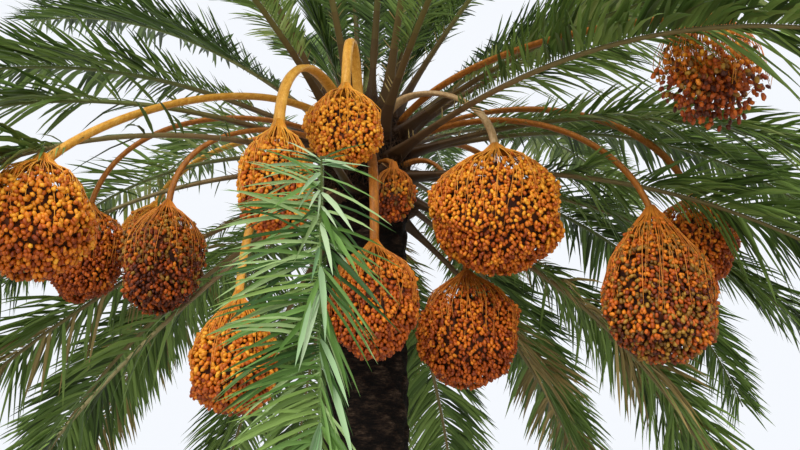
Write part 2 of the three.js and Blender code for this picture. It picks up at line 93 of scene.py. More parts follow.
class Luck(IntEnum):
    """What a value of chance is for, which is the last number that it is mixed from."""

    DROOP = 1
    SWAY = 2
    ROLL = 3
    LENGTH = 4
    TOOTH_LENGTH = 6
    TOOTH_ASIDE = 7
    LUMP = 9
    DROP = 10


# Sums on numbers, directions and lines


def chance(*keys: int) -> float:
    """Mixes whole numbers by the solids' rule.

    Args:
        keys: the numbers.

    Returns:
        A value from 0 to 1 that looks random and depends only on the keys.
    """
    word = HASH_START
    for key in keys:
        word = ((word ^ (key & HALF_WORD)) * HASH_STEP) & WORD
        word = ((word ^ (word >> HASH_SHIFTS[0])) * HASH_STIR) & WORD
        word ^= word >> HASH_SHIFTS[1]
    return word / (WORD + 1)


def shuffled(numbers: Array) -> Array:
    """Returns a value from 0 to 1 for each whole number, in no visible order."""
    return np.modf(np.abs(np.sin(numbers * SHUFFLE[0]) * SHUFFLE[1]))[0]


def mix(a: float, b: float, t: Array | float) -> Array | float:
    """Returns the value a share t of the way from a to b."""
    return a + (b - a) * t


def grown(ends: Span, age: float, by: float) -> float:
    """Returns a value that has run from the first end to the second one once age reaches by."""
    return mix(*ends, min(1.0, age / by))


def ramp(rows: Rows, s: Array | float) -> Array | float:
    """Returns the value at s of a short table."""
    return np.interp(s, [row[0] for row in rows], [row[1] for row in rows])


def smooth_step(low: float, high: float, value: Array) -> Array:
    """Returns 0 below low, 1 above high and a smooth rise between them."""
    t = np.clip((value - low) / (high - low), 0, 1)
    return t * t * (3 - 2 * t)


def column(values: Array | float) -> Array:
    """Returns values with one more axis, to scale vectors by."""
    return np.asarray(values)[..., None]


def unit(v: Array) -> Array:
    """Returns vectors brought to length 1."""
    return v / np.maximum(np.linalg.norm(v, axis=-1, keepdims=True), 1e-9)


def square_to(v: Array, axis: Array) -> Array:
    """Returns the part of v that is square to a unit axis, at length 1."""
    return unit(v - np.sum(v * axis, axis=-1, keepdims=True) * axis)


def heading(turn: Array | float, rise: Array | float) -> Array:
    """Works out directions.

    Args:
        turn: compass angles.
        rise: angles above the horizon.

    Returns:
        Vectors of length 1.
    """
    turn, rise = np.radians(turn), np.radians(rise)
    parts = np.cos(turn) * np.cos(rise), np.sin(turn) * np.cos(rise), np.sin(rise)
    return np.stack(np.broadcast_arrays(*parts), axis=-1)


def around(count: int) -> Array:
    """Returns this many angles evenly round a circle, in radians."""
    return np.arange(count) * FULL_TURN / count


def spokes(side: Array, other: Array, angles: Array) -> Array:
    """Returns vectors at angles in radians from side towards other, on one more axis."""
    first = side[..., None, :] * column(np.cos(angles))
    return first + other[..., None, :] * column(np.sin(angles))


def rings(path: Array, across: Array, up: Array, wide: Array, deep: Array, section: Array) -> Array:
    """Sets a cross-section along a path.

    Args:
        path: points of shape (rows, 3).
        across: the direction of the section's first axis, one for all or one for each point.
        up: the direction of its second axis.
        wide: half the width at each point.
        deep: half the depth at each point.
        section: the section's points, of shape (columns, 2), from -1 to 1.

    Returns:
        Points of shape (rows, columns, 3).
    """
    return (path[:, None] + across[..., None, :] * column(np.outer(wide, section[:, 0]))
            + up[..., None, :] * column(np.outer(deep, section[:, 1])))


def along_curve(path: Array, u: Array) -> Array:
    """Returns the points at shares u of the length of a line of close points."""
    run = np.concatenate([[0], np.cumsum(np.linalg.norm(np.diff(path, axis=0), axis=1))])
    return np.stack([np.interp(u * run[-1], run, path[:, k]) for k in range(3)], axis=-1)


def curve_through(marks: Array, fine: int) -> Array:
    """Draws a smooth curve that doesn't overshoot where its marks lie at uneven distances.

    Args:
        marks: the points that it passes through.
        fine: how many points it gets between two marks.

    Returns:
        The curve's points.
    """
    marks = np.concatenate([[2 * marks[0] - marks[1]], marks, [2 * marks[-1] - marks[-2]]])
    s = np.linspace(0, 1, fine)[:, None]
    parts = []
    for a, b, c, d in zip(marks, marks[1:], marks[2:], marks[3:]):
        before, here, after = (np.linalg.norm(q - r) ** 0.5 for q, r in ((b, a), (c, b), (d, c)))
        leave = ((b - a) / before - (c - a) / (before + here) + (c - b) / here) * here
        reach = ((c - b) / here - (d - b) / (here + after) + (d - c) / after) * here
        parts.append(b + leave * s + (3 * (c - b) - 2 * leave - reach) * s ** 2
                     + (2 * (b - c) + leave + reach) * s ** 3)
    return np.concatenate(parts)


def pulled_curve(start: Array, leave: Array, arrive: Array, stop: Array, fine: int) -> Array:
    """Draws a curve from start to stop that is pulled towards two points on its way.

    Args:
        start: its first point.
        leave: the point that it sets off towards.
        arrive: the point that it comes in from.
        stop: its last point.
        fine: how many points it gets.

    Returns:
        The curve's points.
    """
    s = np.linspace(0, 1, fine)[:, None]
    return (start * (1 - s) ** 3 + leave * 3 * s * (1 - s) ** 2
            + arrive * 3 * s * s * (1 - s) + stop * s ** 3)


# Meshes


class Sheaf:
    """Points and faces of many small things that are joined in one piece."""

    def __init__(self) -> None:
        """Starts an empty piece."""
        self.points: list[Array] = []
        self.faces: list[Array] = []
        self.tones: list[Array] = []
        self.count = 0

    def add_points(self, points: Array) -> int:
        """Adds points.

        Args:
            points: places in millimetres, in an array of any shape (..., 3).

        Returns:
            The number of the first one.
        """
        first = self.count
        self.points.append(points.reshape(-1, 3))
        self.count += len(self.points[-1])
        return first

    def add_faces(self, faces: Array, tones: Array) -> None:
        """Adds faces with the same number of corners, each with the number of its finish."""
        self.faces.append(faces)
        self.tones.append(tones)

    def sweep(
        self,
        grid: Array,
        tone: Array | int = 0,
        wrap: bool = True,
        head: Array | None = None,
        tail: Array | None = None,
    ) -> None:
        """Adds n tubes or open strips of the same build.

        Args:
            grid: points of shape (n, rows, columns, 3), columns turning left round the rows' way.
            tone: finish numbers, one for all, or of shape (n,) or (n, rows - 1).
            wrap: joins the last column to the first one, which makes a tube.
            head: points (n, 3) that close the first row.
            tail: points (n, 3) that close the last row.
        """
        n, rows, cols, _ = grid.shape
        tone = np.asarray(tone)
        tone = np.broadcast_to(tone[:, None] if tone.ndim == 1 else tone, (n, rows - 1))
        ids = self.add_points(grid) + np.arange(n * rows * cols).reshape(n, rows, cols)
        here, there = (ids, np.roll(ids, -1, axis=2)) if wrap else (ids[..., :-1], ids[..., 1:])
        quads = np.stack([here[:, :-1], there[:, :-1], there[:, 1:], here[:, 1:]], axis=-1)
        self.add_faces(quads.reshape(-1, 4), np.repeat(tone.reshape(-1), here.shape[2]))
        for points, row, flip in ((head, 0, True), (tail, -1, False)):
            if points is None:
                continue
            tip = self.add_points(points) + np.arange(n)
            tip = np.broadcast_to(tip[:, None], here[:, row].shape)
            a, b = (there, here) if flip else (here, there)
            fans = np.stack([a[:, row], b[:, row], tip], axis=-1).reshape(-1, 3)
            self.add_faces(fans, np.repeat(tone[:, row], here.shape[2]))

    def triangles(self) -> int:
        """Returns how many triangles the faces make."""
        return sum(len(faces) * (faces.shape[1] - 2) for faces in self.faces)

    def build(self, name: str, finishes: Sequence[bpy.types.Material]) -> bpy.types.Object:
        """Makes the piece and rides it on the tree.

        Args:
            name: the piece's name.
            finishes: materials in the order of the finish numbers.

        Returns:
            The new object.
        """
        mesh = bpy.data.meshes.new(name)
        points = np.concatenate(self.points) * MM
        sizes = np.concatenate([np.full(len(faces), faces.shape[1]) for faces in self.faces])
        ends = np.concatenate([faces.reshape(-1) for faces in self.faces])
        mesh.vertices.add(len(points))
        mesh.vertices.foreach_set("co", points.astype(np.float32).reshape(-1))
        mesh.loops.add(len(ends))
        mesh.loops.foreach_set("vertex_index", ends.astype(np.int32))
        mesh.polygons.add(len(sizes))
        mesh.polygons.foreach_set("loop_start", (np.cumsum(sizes) - sizes).astype(np.int32))
        mesh.polygons.foreach_set("material_index", np.concatenate(self.tones).astype(np.int32))
        mesh.update(calc_edges=True)
        mesh.validate()
        mesh.shade_smooth()
        for finish in finishes:
            mesh.materials.append(finish)
        piece = bpy.data.objects.new(name, mesh)
        bpy.context.scene.collection.objects.link(piece)
        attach(piece, "root")
        LOG.info("%s: %d triangles", name, self.triangles())
        return piece


# Finishes


def linear(colour: str) -> tuple[float, float, float, float]:
    """Returns a screen colour such as "8a7434" as the shader takes it."""
    parts = [int(colour[k:k + 2], 16) / 255 for k in (0, 2, 4)]
    return (*(c / 12.92 if c <= 0.04045 else ((c + 0.055) / 1.055) ** 2.4 for c in parts), 1.0)


def graded(marks: Sequence[str], steps: int) -> tuple[str, ...]:
    """Grades screen colours.

    Args:
        marks: the colours to run through, evenly spaced.
        steps: how many to return.

    Returns:
        The colours.
    """
    parts = np.array([[int(mark[k:k + 2], 16) for k in (0, 2, 4)] for mark in marks])
    places = np.linspace(0, len(marks) - 1, steps)
    mixed = [np.interp(places, np.arange(len(marks)), part) for part in parts.T]
    return tuple("".join(f"{round(value):02x}" for value in colour) for colour in zip(*mixed))


class Flow:
    """One output socket of a material's nodes, with sums written as Python expressions."""

    def __init__(self, tree: bpy.types.NodeTree, socket: bpy.types.NodeSocket) -> None:
        """Wraps a socket of this tree."""
        self.tree, self.socket = tree, socket

    @staticmethod
    def node(
        tree: bpy.types.NodeTree, kind: str, settings: dict | None = None, **inputs: object,
    ) -> bpy.types.Node:
        """Adds a node.

        Args:
            tree: the material's node tree.
            kind: the node's type.
            settings: properties set before the sockets are.
            inputs: values or Flows, by socket name with _ for a space, or by place as _0 and _1.

        Returns:
            The new node.
        """
        node = tree.nodes.new(kind)
        for key, value in (settings or {}).items():
            if key == "stops":
                Flow.set_stops(node, value)
            else:
                setattr(node, key, value)
        for key, value in inputs.items():
            place = int(key[1:]) if key[0] == "_" else key.replace("_", " ")
            if isinstance(value, Flow):
                tree.links.new(value.socket, node.inputs[place])
            else:
                node.inputs[place].default_value = value
        return node

    @staticmethod
    def set_stops(node: bpy.types.Node, stops: Sequence[tuple[float, str]]) -> None:
        """Sets a colour ramp's stops.

        Args:
            node: the colour ramp.
            stops: their places and screen colours.
        """
        elements = node.color_ramp.elements
        while len(elements) < len(stops):
            elements.new(0.5)
        for element, (place, colour) in zip(elements, stops):
            element.position, element.color = place, linear(colour)

    @classmethod
    def noise(
        cls,
        tree: bpy.types.NodeTree,
        scale: Sequence[float],
        detail: float,
        roughness: float = 0.6,
    ) -> "Flow":
        """Adds noise in the object's own metres.

        Args:
            tree: the material's node tree.
            scale: how fine it is along each axis.
            detail: how many layers it has.
            roughness: how strong the finer layers are.

        Returns:
            The noise.
        """
        place = cls.node(tree, "ShaderNodeTexCoord").outputs["Object"]
        spread = cls.node(
            tree, "ShaderNodeMapping", Vector=cls(tree, place), Scale=tuple(scale)).outputs[0]
        grain = cls.node(
            tree, "ShaderNodeTexNoise", Vector=cls(tree, spread), Scale=1.0, Detail=detail,
            Roughness=roughness)
        return cls(tree, grain.outputs["Fac"])

    def _sum(self, operation: str, a: object, b: object) -> "Flow":
        """Adds a Math node on two values."""
        node = Flow.node(self.tree, "ShaderNodeMath", {"operation": operation}, _0=a, _1=b)
        return Flow(self.tree, node.outputs[0])

    def __add__(self, other: object) -> "Flow":
        """Returns this plus other."""
        return self._sum("ADD", self, other)

    def __radd__(self, other: object) -> "Flow":
        """Returns other plus this."""
        return self._sum("ADD", other, self)

    def __sub__(self, other: object) -> "Flow":
        """Returns this minus other."""
        return self._sum("SUBTRACT", self, other)

    def __rsub__(self, other: object) -> "Flow":
        """Returns other minus this."""
        return self._sum("SUBTRACT", other, self)

    def __mul__(self, other: object) -> "Flow":
        """Returns this times other."""
        return self._sum("MULTIPLY", self, other)

    def __rmul__(self, other: object) -> "Flow":
        """Returns other times this."""
        return self._sum("MULTIPLY", other, self)


@dataclass(frozen=True)
class Plain:
    """A finish of one colour, for small things whose colours are dealt out by spray."""

    name: str
    colour: str
    roughness: float = 0.5
    shine: float = 0.4

    def make(self) -> bpy.types.Material:
        """Makes the finish.

        Returns:
            The material.
        """
        material = bpy.data.materials.new(self.name)
        material.use_nodes = True
        shader = material.node_tree.nodes["Principled BSDF"]
        shader.inputs["Base Color"].default_value = linear(self.colour)
        shader.inputs["Roughness"].default_value = self.roughness
        shader.inputs["Specular IOR Level"].default_value = self.shine
        material.diffuse_color = linear(self.colour)
        return material


@dataclass(frozen=True)
class Grained:
    """A finish with grain, for bark, fibre, stalks and the spear."""

    name: str
    stops: tuple[tuple[float, str], ...]  # colours from the grain's low to its high values
    scale: tuple[float, float, float]  # how fine the grain is along each axis
    roughness: Span = (0.6, 0.85)
    bump: float = 0.4
    depth: float = 0.002  # metres that the bump stands for
    relief: str = ""  # the mesh attribute, if any, that moves the grain up and down the stops: painted highlight where it is high and painted shade where it is low, with bump and roughness
    reach: float = 0.0  # how far it moves the grain, and so how strong that painted highlight and shade are
    shine: float = 0.3
    fine: float = 4.0  # how much finer the second grain is
    fine_share: float = 0.3

    def make(self) -> bpy.types.Material:
        """Makes the finish.

        Returns:
            The material.
        """
        material = bpy.data.materials.new(self.name)
        material.use_nodes = True
        tree = material.node_tree
        shader = tree.nodes["Principled BSDF"]
        coarse = Flow.noise(tree, self.scale, detail=4.0)
        fine = Flow.noise(tree, [self.fine * scale for scale in self.scale], detail=2.0)
        value = coarse * (1 - self.fine_share) + fine * self.fine_share
        # painted highlight and shade: the relief mark lightens the grain where it is high and
        # darkens it where it is low
        if self.relief:
            mark = Flow.node(tree, "ShaderNodeAttribute", {"attribute_name": self.relief})
            value = value + (Flow(tree, mark.outputs["Fac"]) - 0.5) * self.reach
        colour = Flow.node(tree, "ShaderNodeValToRGB", {"stops": self.stops}, Fac=value)
        bump = Flow.node(
            tree, "ShaderNodeBump", Height=value, Strength=self.bump, Distance=self.depth)
        rough = value * (self.roughness[1] - self.roughness[0]) + self.roughness[0]
        tree.links.new(colour.outputs["Color"], shader.inputs["Base Color"])
        tree.links.new(rough.socket, shader.inputs["Roughness"])
        tree.links.new(bump.outputs[0], shader.inputs["Normal"])
        shader.inputs["Specular IOR Level"].default_value = self.shine
        material.diffuse_color = linear(self.stops[len(self.stops) // 2][1])
        return material


@dataclass
class Palette:
    """Plain finishes of one kind of thing, with the numbers of each shade."""

    finishes: list[bpy.types.Material] = field(default_factory=list)
    shades: dict[str, list[int]] = field(default_factory=dict)

    @classmethod
    def of(cls, kind: str, colours: dict[str, Sequence[str]], **settings: float) -> "Palette":
        """Makes one plain finish for each colour.

        Args:
            kind: what the finishes are for, which their names begin with.
            colours: screen colours by shade.
            settings: other fields of Plain.

        Returns:
            The palette.
        """
        palette = cls()
        for shade, values in colours.items():
            first = len(palette.finishes)
            palette.shades[shade] = list(range(first, first + len(values)))
            for k, colour in enumerate(values):
                palette.finishes.append(Plain(f"{kind}_{shade}_{k + 1}", colour, **settings).make())
        return palette

    def deal(self, rng: np.random.Generator, shades: Sequence[str], n: int) -> Array:
        """Returns n finish numbers drawn from these shades."""
        pool = np.array([number for shade in shades for number in self.shades[shade]])
        return pool[rng.integers(0, len(pool), n)]

    def deal_groups(
        self, rng: np.random.Generator, shades: Sequence[Sequence[str]], groups: Array,
    ) -> Array:
        """Deals finishes to things that are in groups.

        Args:
            rng: where the draws come from.
            shades: each group's own shades.
            groups: the number of each thing's group.

        Returns:
            The things' finish numbers.
        """
        tones = np.empty(len(groups), int)
        for k, own in enumerate(shades):
            mine = groups == k
            tones[mine] = self.deal(rng, own, int(mine.sum()))
        return tones


# the relief mark paints highlight on the leaf scars' lips and shade in their grooves
BARK = Grained(
    "bark", ((0.34, "080504"), (0.47, "19110c"), (0.58, "2f231a"), (0.78, "564739")), (15, 15, 58),
    roughness=(0.8, 0.95), bump=1.0, depth=0.012, relief="relief", reach=0.16, shine=0.12)
FIBRE = Grained(
    "fibre", ((0.2, "1c110a"), (0.5, "47301d"), (0.8, "7d5f3f")), (160, 160, 30), bump=0.6,
    depth=0.003)
CUT = Grained("cut_leaf_base", ((0.3, "6b4a2b"), (0.7, "b08a58")), (120, 120, 120))
SPEAR = Grained(
    "spear", ((0.3, "7f8f45"), (0.7, "b4bb72")), (30, 30, 6), roughness=(0.4, 0.6), bump=0.2)

LEAF_COLOURS = {
    "deep": ("3a4c20", "486027", "556f30"),
    "mid": ("5a7232", "6b843d", "7c964a"),
    "pale": ("869c50", "97aa60", "a8b873"),
    "front": ("2f4d1a", "4a6a28", "688a42", "92aa6c"),
    "silver": ("6f9160", "8fab7c", "a9bd92"),
    "dry": ("8a7846", "a48e58"),
}
FRUIT_COLOURS = {
    "gold": ("f2a82c", "e6951f", "d27f17"),
    "orange": ("e2841c", "d07015", "b95a0f"),
    "rust": ("c15c10", "a4480c", "85360a"),
    "olive": ("a87a28", "8b5f1c", "6c4614"),
    "ripe": ("6d2f10", "4e1f0b"),
}
# painted shade: the dark inside of a bunch, seen between its dates
HEART_SHADE_COLOURS = ("3c1b09", "4c240c", "5a2c0f")


class Green(Enum):
    """Which greens a frond's leaflets are dealt from."""

    DEEP = ("deep", "mid", "mid")
    MID = ("mid", "mid", "pale")
    FRESH = ("deep", "mid", "deep")
    FRONT = ("front", "front", "front", "mid")
    OLD = ("mid", "mid", "dry")
    SILVER = ("silver", "silver", "front")


class RipenessAndShade(Enum):
    """Which dates a bunch has, from its neck down to its foot: its own ripeness, with darker shades
    towards the foot that are painted shade.
    """

    GOLD = (("gold",), ("gold", "gold", "orange"), ("gold", "orange"))
    AMBER = (("gold", "orange"), ("orange", "gold"), ("orange", "rust"))
    ORANGE = (("orange", "gold"), ("orange", "gold", "orange"), ("orange", "rust"))
    RUST = (("orange", "rust"), ("rust", "orange"), ("rust",))
    RED = (("orange",), ("orange", "rust"), ("rust",))
    OLIVE = (("olive", "orange"), ("olive", "rust", "ripe"), ("rust", "ripe", "ripe"))
    BROWN = (("orange", "olive"), ("orange", "olive", "rust"), ("rust", "olive", "ripe"))
    RIPE = (("gold", "orange"), ("rust", "olive", "orange"), ("ripe", "rust"))


class RibKind(StrEnum):
    """The colours that a rib has."""

    YOUNG = "young"
    MIDDLE = "middle"
    OLD = "old"
    FRONT = "front"
    DEAD = "dead"


class StalkKind(StrEnum):
    """The colour that a fruit stalk has."""

    BRIGHT = "bright"
    STRAW = "straw"
    COPPER = "copper"


RIB_MARKS = {  # from the foot outwards
    RibKind.YOUNG: ("3f2a14", "5c4a24", "6d6a34", "6f7c3e"),
    RibKind.MIDDLE: ("33200f", "55401f", "635a2a", "5c6430"),
    RibKind.OLD: ("36230f", "5a4224", "7d663f", "786b41"),
    RibKind.FRONT: ("241608", "32280f", "46501f", "6f8a48"),
    RibKind.DEAD: ("3c2814", "6b5233", "8a7350", "8c8256"),
}
RIB_STEPS = 9
RIB_GRADED = 1150  # how far out from the crown a rib's colour goes on changing
STALK_FINISHES = {
    StalkKind.BRIGHT: Grained(
        "stalk_bright", ((0.25, "b5741a"), (0.55, "dca03c"), (0.85, "efcb7c")), (60, 60, 18),
        roughness=(0.4, 0.6), bump=0.3),
    StalkKind.STRAW: Grained(
        "stalk_straw", ((0.25, "8b6a3e"), (0.55, "bd9a6b"), (0.85, "dcc39b")), (60, 60, 18),
        roughness=(0.4, 0.6), bump=0.3),
    StalkKind.COPPER: Grained(
        "stalk_copper", ((0.25, "73420f"), (0.55, "a9651d"), (0.85, "cf8f3f")), (60, 60, 18),
        roughness=(0.45, 0.65), bump=0.3),
}
STRAND_COLOURS = {
    StalkKind.BRIGHT: ("e79a26", "f0ae3f"),
    StalkKind.STRAW: ("dd8a24", "e79f38"),
    StalkKind.COPPER: ("b8651a", "cb7d25"),
    "strand": ("d9842a",),  # seen in every bunch
}


def rib_tones(ribs: Palette, kind: RibKind, s: Array) -> Array:
    """Returns the finish numbers of a rib's parts at these distances from its foot."""
    step = np.interp(s, (0, RIB_GRADED), (0, RIB_STEPS - 1)).round().astype(int)
    return np.array(ribs.shades[kind])[step]


# The trunk and the crown


@dataclass(frozen=True)
class Crown:
    """The top of the trunk, a cylinder under a dome, with leaf bases on it in a spiral."""

    radius: float = 230
    foot: float = 3120  # the height at which the trunk has run into it
    shoulder: float = 3520  # the height at which the dome starts
    leaves: int = 52
    young: int = 5  # how many of them are the youngest ones round the spear
    on_dome: float = 20  # how many leaf bases the dome has room for
    offset: float = 0.6  # how far the first one is from the growing tip, in leaf bases
    step: float = 11.4  # height between two leaf bases under the dome
    start: float = -132.4  # the compass angle of the first one

    def climb(self, i: Array | float) -> Array | float:
        """Returns 1 at the growing tip, 0 at the dome's edge and less for leaf bases below it."""
        return 1 - (i + self.offset) / self.on_dome

    def slot(self, i: int, lift: float = 0, slide: float = 0) -> tuple[Array, Array, float]:
        """Finds the place of leaf base i.

        Args:
            i: its number, counted from the growing tip down.
            lift: how far above the base, along the surface.
            slide: how far beside it, round the surface.

        Returns:
            Its point, the surface's direction there and its compass angle.
        """
        climb = self.climb(i)
        below = max(0.0, -climb * self.on_dome) * self.step
        arc = ((math.pi / 2 - math.acos(climb)) * self.radius if climb > 0 else -below) + lift
        turn = self.start + i * GOLDEN + math.degrees(slide / self.radius)
        out = heading(turn, math.degrees(max(0.0, arc) / self.radius))
        point = out * self.radius + UP * (self.shoulder + min(0.0, arc))
        return point, out, turn


@dataclass(frozen=True)
class Trunk:
    """The trunk, swollen at the foot, with its old leaf scars, and the crown's top above it."""

    crown: Crown
    radius: float = 208
    flare: float = 92  # how much wider it is at its foot
    flare_fall: float = 150  # the height at which a third of that is left
    swell: float = 14  # how much wider it is under the crown
    swell_from: float = 2500
    merge: float = 60  # the last stretch below the crown's foot, where the two walls run together
    bow: float = 20  # how far its middle bends along x
    bow_back: float = -12  # and along y
    columns: int = 150
    pitch: float = 16.6  # height of one row of faces
    dome_pitch: float = 3.6  # from one row of faces to the next on the dome
    dome_end: float = 86
    scar_half: float = 61  # half the width and height of a leaf scar's diamond
    scars_near: int = 11  # how many scars above and below a point are looked at
    lip: float = 13  # how far a scar's upper edge stands out over its groove
    middle: float = 0.45  # the share of the lip that lies inside the smooth wall
    scar_edge: Span = (0.7, 1.0)  # where its relief fades out, in shares of its half width
    scar_rise: Span = (-0.8, 0.3)  # where it rises to its lip, in shares of its half height
    scar_least: float = 0.65  # the flattest scar's relief against the fullest one's
    rough: float = 1.1
    plain_foot: float = 40  # the height over which the relief starts
    seed: int = 3

    def wall(self, z: Array) -> Array:
        """Works out the smooth radius.

        Args:
            z: heights, of any shape.

        Returns:
            The radius at each of them.
        """
        crown = self.crown
        rise = np.clip((z - self.swell_from) / (crown.foot - self.swell_from), 0, 1)
        base = self.radius + self.flare * np.exp(-z / self.flare_fall) + self.swell * rise ** 2
        past = smooth_step(crown.foot - self.merge, crown.foot, z)
        above = np.maximum(0, z - crown.shoulder)
        dome = np.sqrt(np.clip(crown.radius ** 2 - above ** 2, 1, None))
        return base * (1 - past) + dome * past

    def scars(self, z: Array, turn: Array) -> tuple[Array, Array]:
        """Works out the leaf scars' relief.

        Args:
            z: heights, of any shape.
            turn: compass angles, of the same shape.

        Returns:
            How far each point stands out, and a value from 0 in a groove to 1 on a lip.
        """
        crown = self.crown
        near = np.full(z.shape, np.inf)
        up = np.zeros(z.shape)
        which = np.zeros(z.shape)
        top = crown.shoulder + crown.step * (crown.on_dome - crown.offset)
        row = np.round((top - z) / crown.step)
        for shift in range(-self.scars_near, self.scars_near + 1):
            i = row + shift
            dz = (z - (top - i * crown.step)) / self.scar_half
            round_by = (turn - crown.start - i * GOLDEN + 180) % 360 - 180
            dx = np.radians(round_by) * self.wall(z) / self.scar_half
            away = np.abs(dx) + np.abs(dz)
            closer = away < near
            near = np.where(closer, away, near)
            up = np.where(closer, dz, up)
            which = np.where(closer, i, which)
        body = 1 - smooth_step(*self.scar_edge, near)
        slope = 0.5 + 0.5 * smooth_step(*self.scar_rise, up)
        lip = body * slope * mix(self.scar_least, 1, shuffled(which))
        return (lip - self.middle) * self.lip, lip

    def build(self) -> None:
        """Makes the trunk's mesh with its bark's relief, in place of the solid trunk."""
        crown = self.crown
        flat = np.arange(0, crown.shoulder, self.pitch)
        bend = np.radians(np.arange(0, self.dome_end, self.dome_pitch))
        z = np.concatenate([flat, crown.shoulder + crown.radius * np.sin(bend)])
        turn = np.arange(self.columns) * 360 / self.columns
        high, round_by = np.meshgrid(z, turn, indexing="ij")
        out, mark = self.scars(high, round_by)
        out = out + np.random.default_rng(self.seed).normal(0, self.rough, out.shape)
        r = self.wall(high) + out * smooth_step(0, self.plain_foot, high)
        bowed = np.sin(np.pi * np.clip(high / crown.foot, 0, 1))
        lean = np.where(high < crown.foot, bowed, 0)
        a = np.radians(round_by)
        x, y = self.bow * lean + r * np.cos(a), self.bow_back * lean + r * np.sin(a)
        grid = np.stack([x, y, high], axis=-1)
        top = UP[None] * (crown.shoulder + crown.radius)
        sheaf = Sheaf()
        sheaf.sweep(grid[None], head=np.zeros((1, 3)), tail=top)
        piece = sheaf.build("trunk_bark", [BARK.make()])
        ends = [0.5, 0.5]  # the two closing points are neither groove nor lip
        value = np.concatenate([mark.reshape(-1), ends]).astype(np.float32)
        # the lip values drive the bark's painted highlight on the lips and painted shade in the
        # grooves
        relief = piece.data.attributes.new(BARK.relief, "FLOAT", "POINT")
        relief.data.foreach_set("value", value)
        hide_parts("trunk")


# Fronds by the solids' rule

RIB_LENGTH = 2900
PETIOLE = 720  # how far out a grown leaf's blade starts
TOOTH_LENGTH = 470
RIB_WIDTH: Rows = (
    (0, 88), (60, 76), (150, 54), (350, 42), (720, 33), (1700, 20), (2900, 9),
)
RIB_DEPTH: Rows = (
    (0, 46), (60, 40), (150, 33), (350, 29), (720, 25), (1700, 17), (2900, 9),
)
CLASP: Rows = (  # how much wider than its solid a base is, because it clasps the crown
    (0, 1.75), (70, 1.55), (150, 1.35), (260, 1.1), (400, 1.0),
)
YOUNG_FOOT = 300  # how far out a young leaf's rib is slimmer
RIB_ROWS_NEAR = (0, 25, 60, 100, 150, 210, 290, 370, 450, 540, 630, 720)
RIB_ROWS_FAR = 26
RIB_ROWS_MEET = (0.02, 0.03)  # past the blade's start the near rows end and the far ones begin
TOOTH_SHAPE: Rows = ((-0.16, 0.16), (0, 0.42), (0.14, 0.8), (0.4, 1), (0.75, 0.82), (1, 0.52))
RIB_SECTION = np.array([
    (0, 1), (-0.42, 0.66), (-0.8, 0.05), (-1, -0.62), (-0.72, -1), (0, -1.1),
    (0.72, -1), (1, -0.62), (0.8, 0.05), (0.42, 0.66),
])
LEAD: Rows = ((0, 34), (1, 54))  # how far leaflets lean forwards along a blade
TRIES = (  # the small changes of turn and rise that keep a frond clear of its neighbours
    (0, 0), (3, 0), (-3, 0), (0, 4), (0, -4), (6, 0), (-6, 0), (4, 4), (-4, 4), (4, -5), (-4, -5),
    (0, 8), (0, -9), (9, 0), (-9, 0), (8, 7), (-8, 7), (8, -8), (-8, -8), (12, 0), (-12, 0),
    (0, 13), (0, -14), (12, 10), (-12, 10), (15, -5), (-15, -5), (16, 14), (-16, 14), (20, 4),
    (-20, 4), (0, 20),
)


@dataclass(frozen=True)
class Steer:
    """How a frond is turned away from the plain spiral, round the fruit."""

    turn: float = 0
    rise: float = 0
    droop: float | None = None


STEERED = {
    3: Steer(rise=4),
    8: Steer(6, 6),
    16: Steer(22, 16),
    21: Steer(rise=14),
    24: Steer(4, 22),
    32: Steer(12, 12),
    39: Steer(-8, -14, 30),
    40: Steer(6, 4),
    45: Steer(14, -22, 25),
    47: Steer(-14, -14, 28),
}
THINNED: dict[int, Rows] = {  # fronds that have lost leaflets, as in the photograph
    15: ((0.3, 0.5), (0.9, 0.6)),
    23: ((0.25, 0.25), (0.62, 0.35), (0.7, 1)),
    26: ((0.4, 0.2), (0.46, 1)),
    31: ((0.42, 0.12), (0.48, 1)),
    34: ((0.5, 0.1), (0.56, 1)),
    47: ((0.55, 0.2), (0.7, 0.8)),
}
FRONT_SIDES: tuple[Rows, Rows] = (
    ((0, 1.1), (0.1, 0.95), (0.26, 0.74), (0.38, 0.48), (0.6, 0.55), (1, 0.8)),
    ((0, 1.2), (0.14, 0.94), (0.3, 0.78), (0.5, 0.68), (1, 0.8)),
)
FRONT_LEAD: tuple[Rows, Rows] = (
    ((0, 34), (0.26, 44), (0.38, 68), (1, 72)),
    ((0, 2), (0.2, 10), (0.5, 27), (1, 45)),
)


@dataclass(frozen=True)
class RibLine:
    """A rib's centre line, with directions along, across and up at each of its points."""

    points: Array
    along: Array
    across: Array
    up: Array

    def at(self, u: Array | float) -> tuple[Array, Array, Array, Array]:
        """Finds places on the line.

        Args:
            u: shares of its length.

        Returns:
            The points, and the directions along, across and up there.
        """
        steps = len(self.points) - 1
        place = np.clip(np.asarray(u, float) * steps, 0, steps - 1e-6)
        k = place.astype(int)
        share = column(place - k)
        point, *ways = (values[k] * (1 - share) + values[k + 1] * share
                        for values in (self.points, self.along, self.across, self.up))
        return point, *(unit(way) for way in ways)


